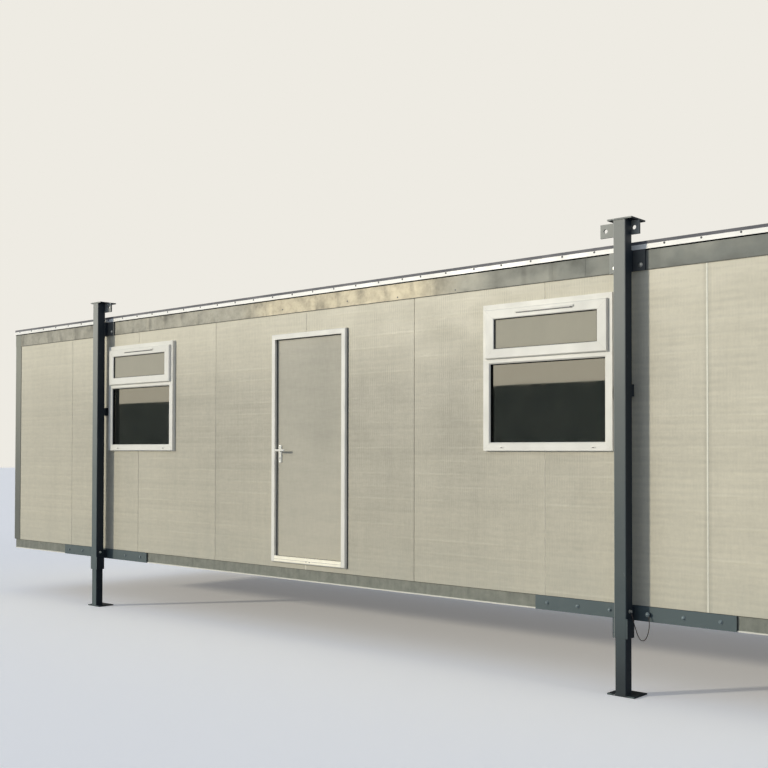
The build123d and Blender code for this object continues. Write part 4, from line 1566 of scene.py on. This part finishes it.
    def backplate(self, name: str, facing: Facing, y: float, out: int) -> None:
        """Make one long backplate with its screws and key cylinder.

        Args:
            name: Side of the leaf that it is on.
            facing: Way that it looks.
            y: Y of the leaf's face on that side.
            out: Sign along Y of the way that it looks.
        """
        x, pivot_z = self.pivot
        mesh = bmesh.new()
        rounded_plate(mesh, self.plate, 0.008, 0.0028, facing.at((x, y, self.plate_z)))
        self.knob(mesh, ((0.0135, 0.002), (0.012, 0.0035), (0.0, 0.0035)),
                  facing.at((x, y, pivot_z)), 24)
        finish_piece(f"backplate_{name}", mesh, self.finishes.white, "door",
                     [f"handle_plate_{name}"])
        mesh = bmesh.new()
        self.knob(mesh, ((0.0085, 0.003), (0.0078, 0.0038), (0.0, 0.0038)),
                  facing.at((x, y, self.keyhole_z + 0.004)), 24)
        for z in (self.plate_z + self.screw_away, self.plate_z - self.screw_away):
            self.knob(mesh, ((0.0036, 0.0004), (0.0, 0.0012)), facing.at((x, y, z)), 14)
        finish_piece(f"cylinder_{name}", mesh, self.finishes.zinc, "door")
        mesh = bmesh.new()
        near, far = sorted(y + out * (self.plate[2] + height) for height in (0.003, 0.0042))
        block(mesh, (x - self.keyway_half, near, self.keyhole_z - 0.001),
              (x + self.keyway_half, far, self.keyhole_z + 0.009))
        finish_piece(f"keyway_{name}", mesh, self.finishes.rubber, "door",
                     smooth=False)

    def lever(self) -> None:
        """Make the lever: one spindle with a rounded grip on each side of the leaf."""
        x, z = self.pivot
        half = self.grip_h / 2
        mesh = bmesh.new()
        for y0, y1 in self.grips_y:
            block(mesh, (x - half, y0, z - half), (x + self.grip_len, y1, z + half), 0.0042, 4)
        turned(mesh, self.spindle, Facing.FRONT.at((x, self.spindle_y, z)), 24)
        finish_piece("lever_set", mesh, self.finishes.white, "lever",
                     ["door_lever"])


# ---------------------------------------------------------------- jack legs
@dataclass
class JackDetails:
    """Weld beads, pin ends and pin clip of one jack leg."""

    finishes: Finishes
    corner: Corner
    cap_z: float = 3.145
    foot_z: float = 0.010
    foot_half: float = 0.040
    bead: float = 0.0035
    bead_short: float = 0.012
    pin_z: float = 0.556
    pin_end: Rows = ((0.0, 0.0), (0.0125, 0.0), (0.0125, 0.003), (0.0084, 0.0032),
                     (0.0084, 0.0175), (0.007, 0.0188), (0.0, 0.0188))
    clip_out: float = 0.011
    clip_radius: float = 0.013
    clip_wire: float = 0.0015

    def at(self, out: float, height: float) -> Point:
        """Point at a distance along X from the leg's middle, and at a height."""
        return (self.corner.sx * POST_X + out, self.corner.sy * POST_Y, height)

    def build(self) -> None:
        """Make the leg's small parts."""
        tag, jack = self.corner.tag, self.finishes.jack
        mesh = bmesh.new()
        self.square_bead(mesh, POST_HALF, self.cap_z)
        finish_piece(f"post_welds_{tag}", mesh, jack)
        mesh = bmesh.new()
        self.square_bead(mesh, self.foot_half, self.foot_z)
        finish_piece(f"foot_welds_{tag}", mesh, jack, f"leg_{tag}")
        self.pin()

    def square_bead(self, mesh: Mesh, half: float, height: float) -> None:
        """Add a weld bead round a square tube.

        Args:
            mesh: Mesh that takes the bead.
            half: Half of the tube's width.
            height: Z of the bead.
        """
        for turn in range(4):
            side = (Matrix.Translation(self.at(0.0, height))
                    @ Matrix.Rotation(turn * math.pi / 2, 4, "Z")
                    @ Matrix.Translation((0.0, half, 0.0)))
            bmesh.ops.create_cone(mesh, cap_ends=True, segments=8, radius1=self.bead,
                                  radius2=self.bead, depth=2 * half - self.bead_short,
                                  matrix=side @ Matrix.Rotation(math.pi / 2, 4, "Y"))

    def pin(self) -> None:
        """Make the round ends of the locking pin and the clip through one of them."""
        mesh = bmesh.new()
        for sign, facing in ((-1, Facing.LEFT), (1, Facing.RIGHT)):
            turned(mesh, self.pin_end, facing.at(self.at(sign * POST_HALF, self.pin_z)), 18)
        finish_piece(f"pin_ends_{self.corner.tag}", mesh, self.finishes.zinc)
        mesh = bmesh.new()
        bmesh.ops.create_circle(mesh, cap_ends=False, segments=8, radius=self.clip_wire,
                                matrix=Matrix.Translation((0.0, 0.0, self.clip_radius))
                                @ Matrix.Rotation(math.pi / 2, 4, "X"))
        bmesh.ops.spin(mesh, geom=list(mesh.verts) + list(mesh.edges), cent=(0.0, 0.0, 0.0),
                       axis=(1.0, 0.0, 0.0), dvec=(0.0, 0.0, 0.0), angle=2 * math.pi,
                       steps=24, use_merge=True, use_duplicate=False)
        bmesh.ops.transform(mesh, verts=mesh.verts, matrix=Matrix.Translation(
            self.at(-POST_HALF - self.clip_out, self.pin_z)))
        finish_piece(f"pin_clip_{self.corner.tag}", mesh, self.finishes.zinc)


@dataclass
class PinLanyard:
    """Cord that ties the front right locking pin to a bolt of its spreader."""

    finishes: Finishes
    diameter: float = 0.006
    length: float = 0.386
    route: tuple[Point, ...] = (
        (3.118, -1.647, 0.551), (3.130, -1.641, 0.494), (3.145, -1.632, 0.432),
        (3.157, -1.622, 0.388), (3.173, -1.614, 0.366), (3.196, -1.606, 0.371),
        (3.212, -1.596, 0.410), (3.217, -1.581, 0.478), (3.200, -1.567, 0.529))

    def build(self) -> None:
        """Make the cord as one smooth curve."""
        curve = bpy.data.curves.new("lanyard", "CURVE")
        curve.dimensions = "3D"
        curve.bevel_depth = self.diameter / 2
        curve.bevel_resolution = 4
        curve.resolution_u = 14
        curve.use_fill_caps = True
        line = curve.splines.new("NURBS")
        line.points.add(len(self.route) - 1)
        for point, place in zip(line.points, self.route):
            point.co = (*place, 1.0)
        line.order_u = 3
        line.use_endpoint_u = True
        curve.materials.append(self.finishes.cord)
        piece = add_object("lanyard", curve)
        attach(piece, "cabin")
        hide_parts("pin_lanyard")
        LOG.info("piece lanyard: %d points", len(self.route))


# ---------------------------------------------------------------- stage
@dataclass(frozen=True)
class Lamp:
    """Far light: its strength, disc in degrees, colour, way and whether gloss shows it."""

    name: str
    energy: float
    disc: float
    tone: Point
    way: Point
    in_gloss: bool = True

    def hang(self) -> None:
        """Put the light in the scene."""
        data = bpy.data.lights.new(self.name, "SUN")
        data.energy = self.energy
        data.angle = math.radians(self.disc)
        data.color = self.tone
        lamp = add_object(self.name, data)
        lamp.rotation_euler = Vector(self.way).to_track_quat("-Z", "Y").to_euler()
        lamp.visible_glossy = self.in_gloss


@dataclass
class Studio:
    """Plain floor, soft lights, a dark board for the glass, and the camera."""

    backdrop: Colour = shade(238, 235, 227)
    ground: Colour = shade(190, 188, 183)
    ground_seen: Colour = shade(250, 249, 246)
    ground_glow: float = 0.18
    ground_half: float = 90.0
    ground_z: float = -0.0015
    sky_tone: Colour = shade(194, 216, 255)
    sky: float = 0.37
    lamps: tuple[Lamp, ...] = (
        Lamp("key", 2.08, 4.0, (1.0, 0.92, 0.76), (0.72, 1.0, -0.313)),
        Lamp("haze", 0.93, 60.0, (0.84, 0.92, 1.0), (0.72, 1.0, -0.313), in_gloss=False),
        Lamp("side", 0.66, 10.0, (1.0, 0.97, 0.98), (-1.0, 0.02, -0.12), in_gloss=False))
    flag_y: float = -28.0
    flag_top: float = 4.1
    flag_reach: float = 70.0
    eye: Point = (6.6254, -8.0057, 1.6033)
    yaw: float = 41.822
    pitch: float = 1.102
    roll: float = 0.108
    sensor: float = 36.0
    lens: float = 50.354
    shift: tuple[float, float] = (0.0, 0.0613)
    far: float = 400.0

    def build(self) -> None:
        """Lay the floor, stand the dark board, set the lights and stand the camera."""
        self.floor()
        self.flag()
        self.world()
        for lamp in self.lamps:
            lamp.hang()
        self.camera()

    def floor(self) -> None:
        """Lay the plain floor, which the camera sees paler than the light does."""
        mesh = bmesh.new()
        bmesh.ops.create_grid(mesh, x_segments=1, y_segments=1, size=self.ground_half,
                              matrix=Matrix.Translation((0.0, 0.0, self.ground_z)))
        node = Shader("studio_floor")
        seen = node.add("ShaderNodeLightPath").outputs["Is Camera Ray"]
        material = node.surface(
            Base_Color=node.blend(seen, self.ground, self.ground_seen), Roughness=0.85,
            Emission_Color=self.ground_seen,
            Emission_Strength=node.product(seen, self.ground_glow))
        add_mesh("floor_plane", mesh, material)

    def flag(self) -> None:
        """Stand the dark board that only reflections see, far off before the door wall."""
        mesh = bmesh.new()
        bmesh.ops.create_grid(mesh, x_segments=1, y_segments=1, size=0.5)
        bmesh.ops.scale(mesh, vec=(2 * self.flag_reach, self.flag_top, 1.0), verts=mesh.verts)
        bmesh.ops.transform(mesh, verts=mesh.verts,
                            matrix=Facing.BACK.at((0.0, self.flag_y, self.flag_top / 2)))
        cloth = Plain("flag_cloth", (40, 44, 44), (26, 30, 31), 0.9, scale=0.5).build()
        board = add_mesh("reflection_flag", mesh, cloth)
        for kind in ("camera", "diffuse", "transmission", "shadow", "volume_scatter"):
            setattr(board, f"visible_{kind}", False)

    def world(self) -> None:
        """Set the even light of the world and the pale backdrop that rays see."""
        world = bpy.data.worlds.new("studio")
        world.use_nodes = True
        nodes, link = world.node_tree.nodes, world.node_tree.links.new
        nodes.clear()
        out = nodes.new("ShaderNodeOutputWorld")
        light, seen = nodes.new("ShaderNodeBackground"), nodes.new("ShaderNodeBackground")
        light.inputs["Color"].default_value = self.sky_tone
        light.inputs["Strength"].default_value = self.sky
        seen.inputs["Color"].default_value = self.backdrop
        path = nodes.new("ShaderNodeLightPath").outputs
        rays = path["Is Camera Ray"]
        for kind in ("Is Glossy Ray", "Is Transmission Ray"):
            most = nodes.new("ShaderNodeMath")
            most.operation = "MAXIMUM"
            link(rays, most.inputs[0])
            link(path[kind], most.inputs[1])
            rays = most.outputs[0]
        mix = nodes.new("ShaderNodeMixShader")
        for source, socket in zip((rays, light.outputs[0], seen.outputs[0]), mix.inputs):
            link(source, socket)
        link(mix.outputs[0], out.inputs["Surface"])
        bpy.context.scene.world = world

    def camera(self) -> None:
        """Stand the camera where the photograph was taken."""
        data = bpy.data.cameras.new("view")
        data.sensor_width = self.sensor
        data.lens = self.lens
        data.shift_x, data.shift_y = self.shift
        data.clip_end = self.far
        camera = add_object("view", data)
        camera.location = self.eye
        turn = (Matrix.Rotation(math.radians(self.yaw), 4, "Z")
                @ Matrix.Rotation(math.radians(90 + self.pitch), 4, "X")
                @ Matrix.Rotation(math.radians(self.roll), 4, "Z"))
        camera.rotation_euler = turn.to_euler()
        bpy.context.scene.camera = camera
        bpy.context.scene.view_settings.view_transform = "Standard"


# ---------------------------------------------------------------- cabin
def dress_nodes(finishes: Finishes) -> None:
    """Give every node of the cabin its finish.

    Args:
        finishes: The cabin's materials.
    """
    for name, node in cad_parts.items():
        material = finishes.of_node(name)
        if not node.material_slots:
            node.data.materials.append(material)
        for slot in node.material_slots:
            slot.link = "OBJECT"
            slot.material = material
        LOG.info("node %s: %s", name, material.name)


def main() -> None:
    """Dress the cabin, add its small parts, and set the studio."""
    logging.basicConfig(level=logging.INFO, format="%(message)s")
    finishes = Finishes()
    dress_nodes(finishes)
    for part in (PinLanyard, BoltHeads, BattenScrews, TopEdge, JointSeals):
        part(finishes).build()
    for side in ("left", "right"):
        WindowFittings(finishes, side).build()
    DoorFittings(finishes).build()
    for corner in Corner:
        JackDetails(finishes, corner).build()
    Studio().build()


if __name__ == "__main__":
    main()
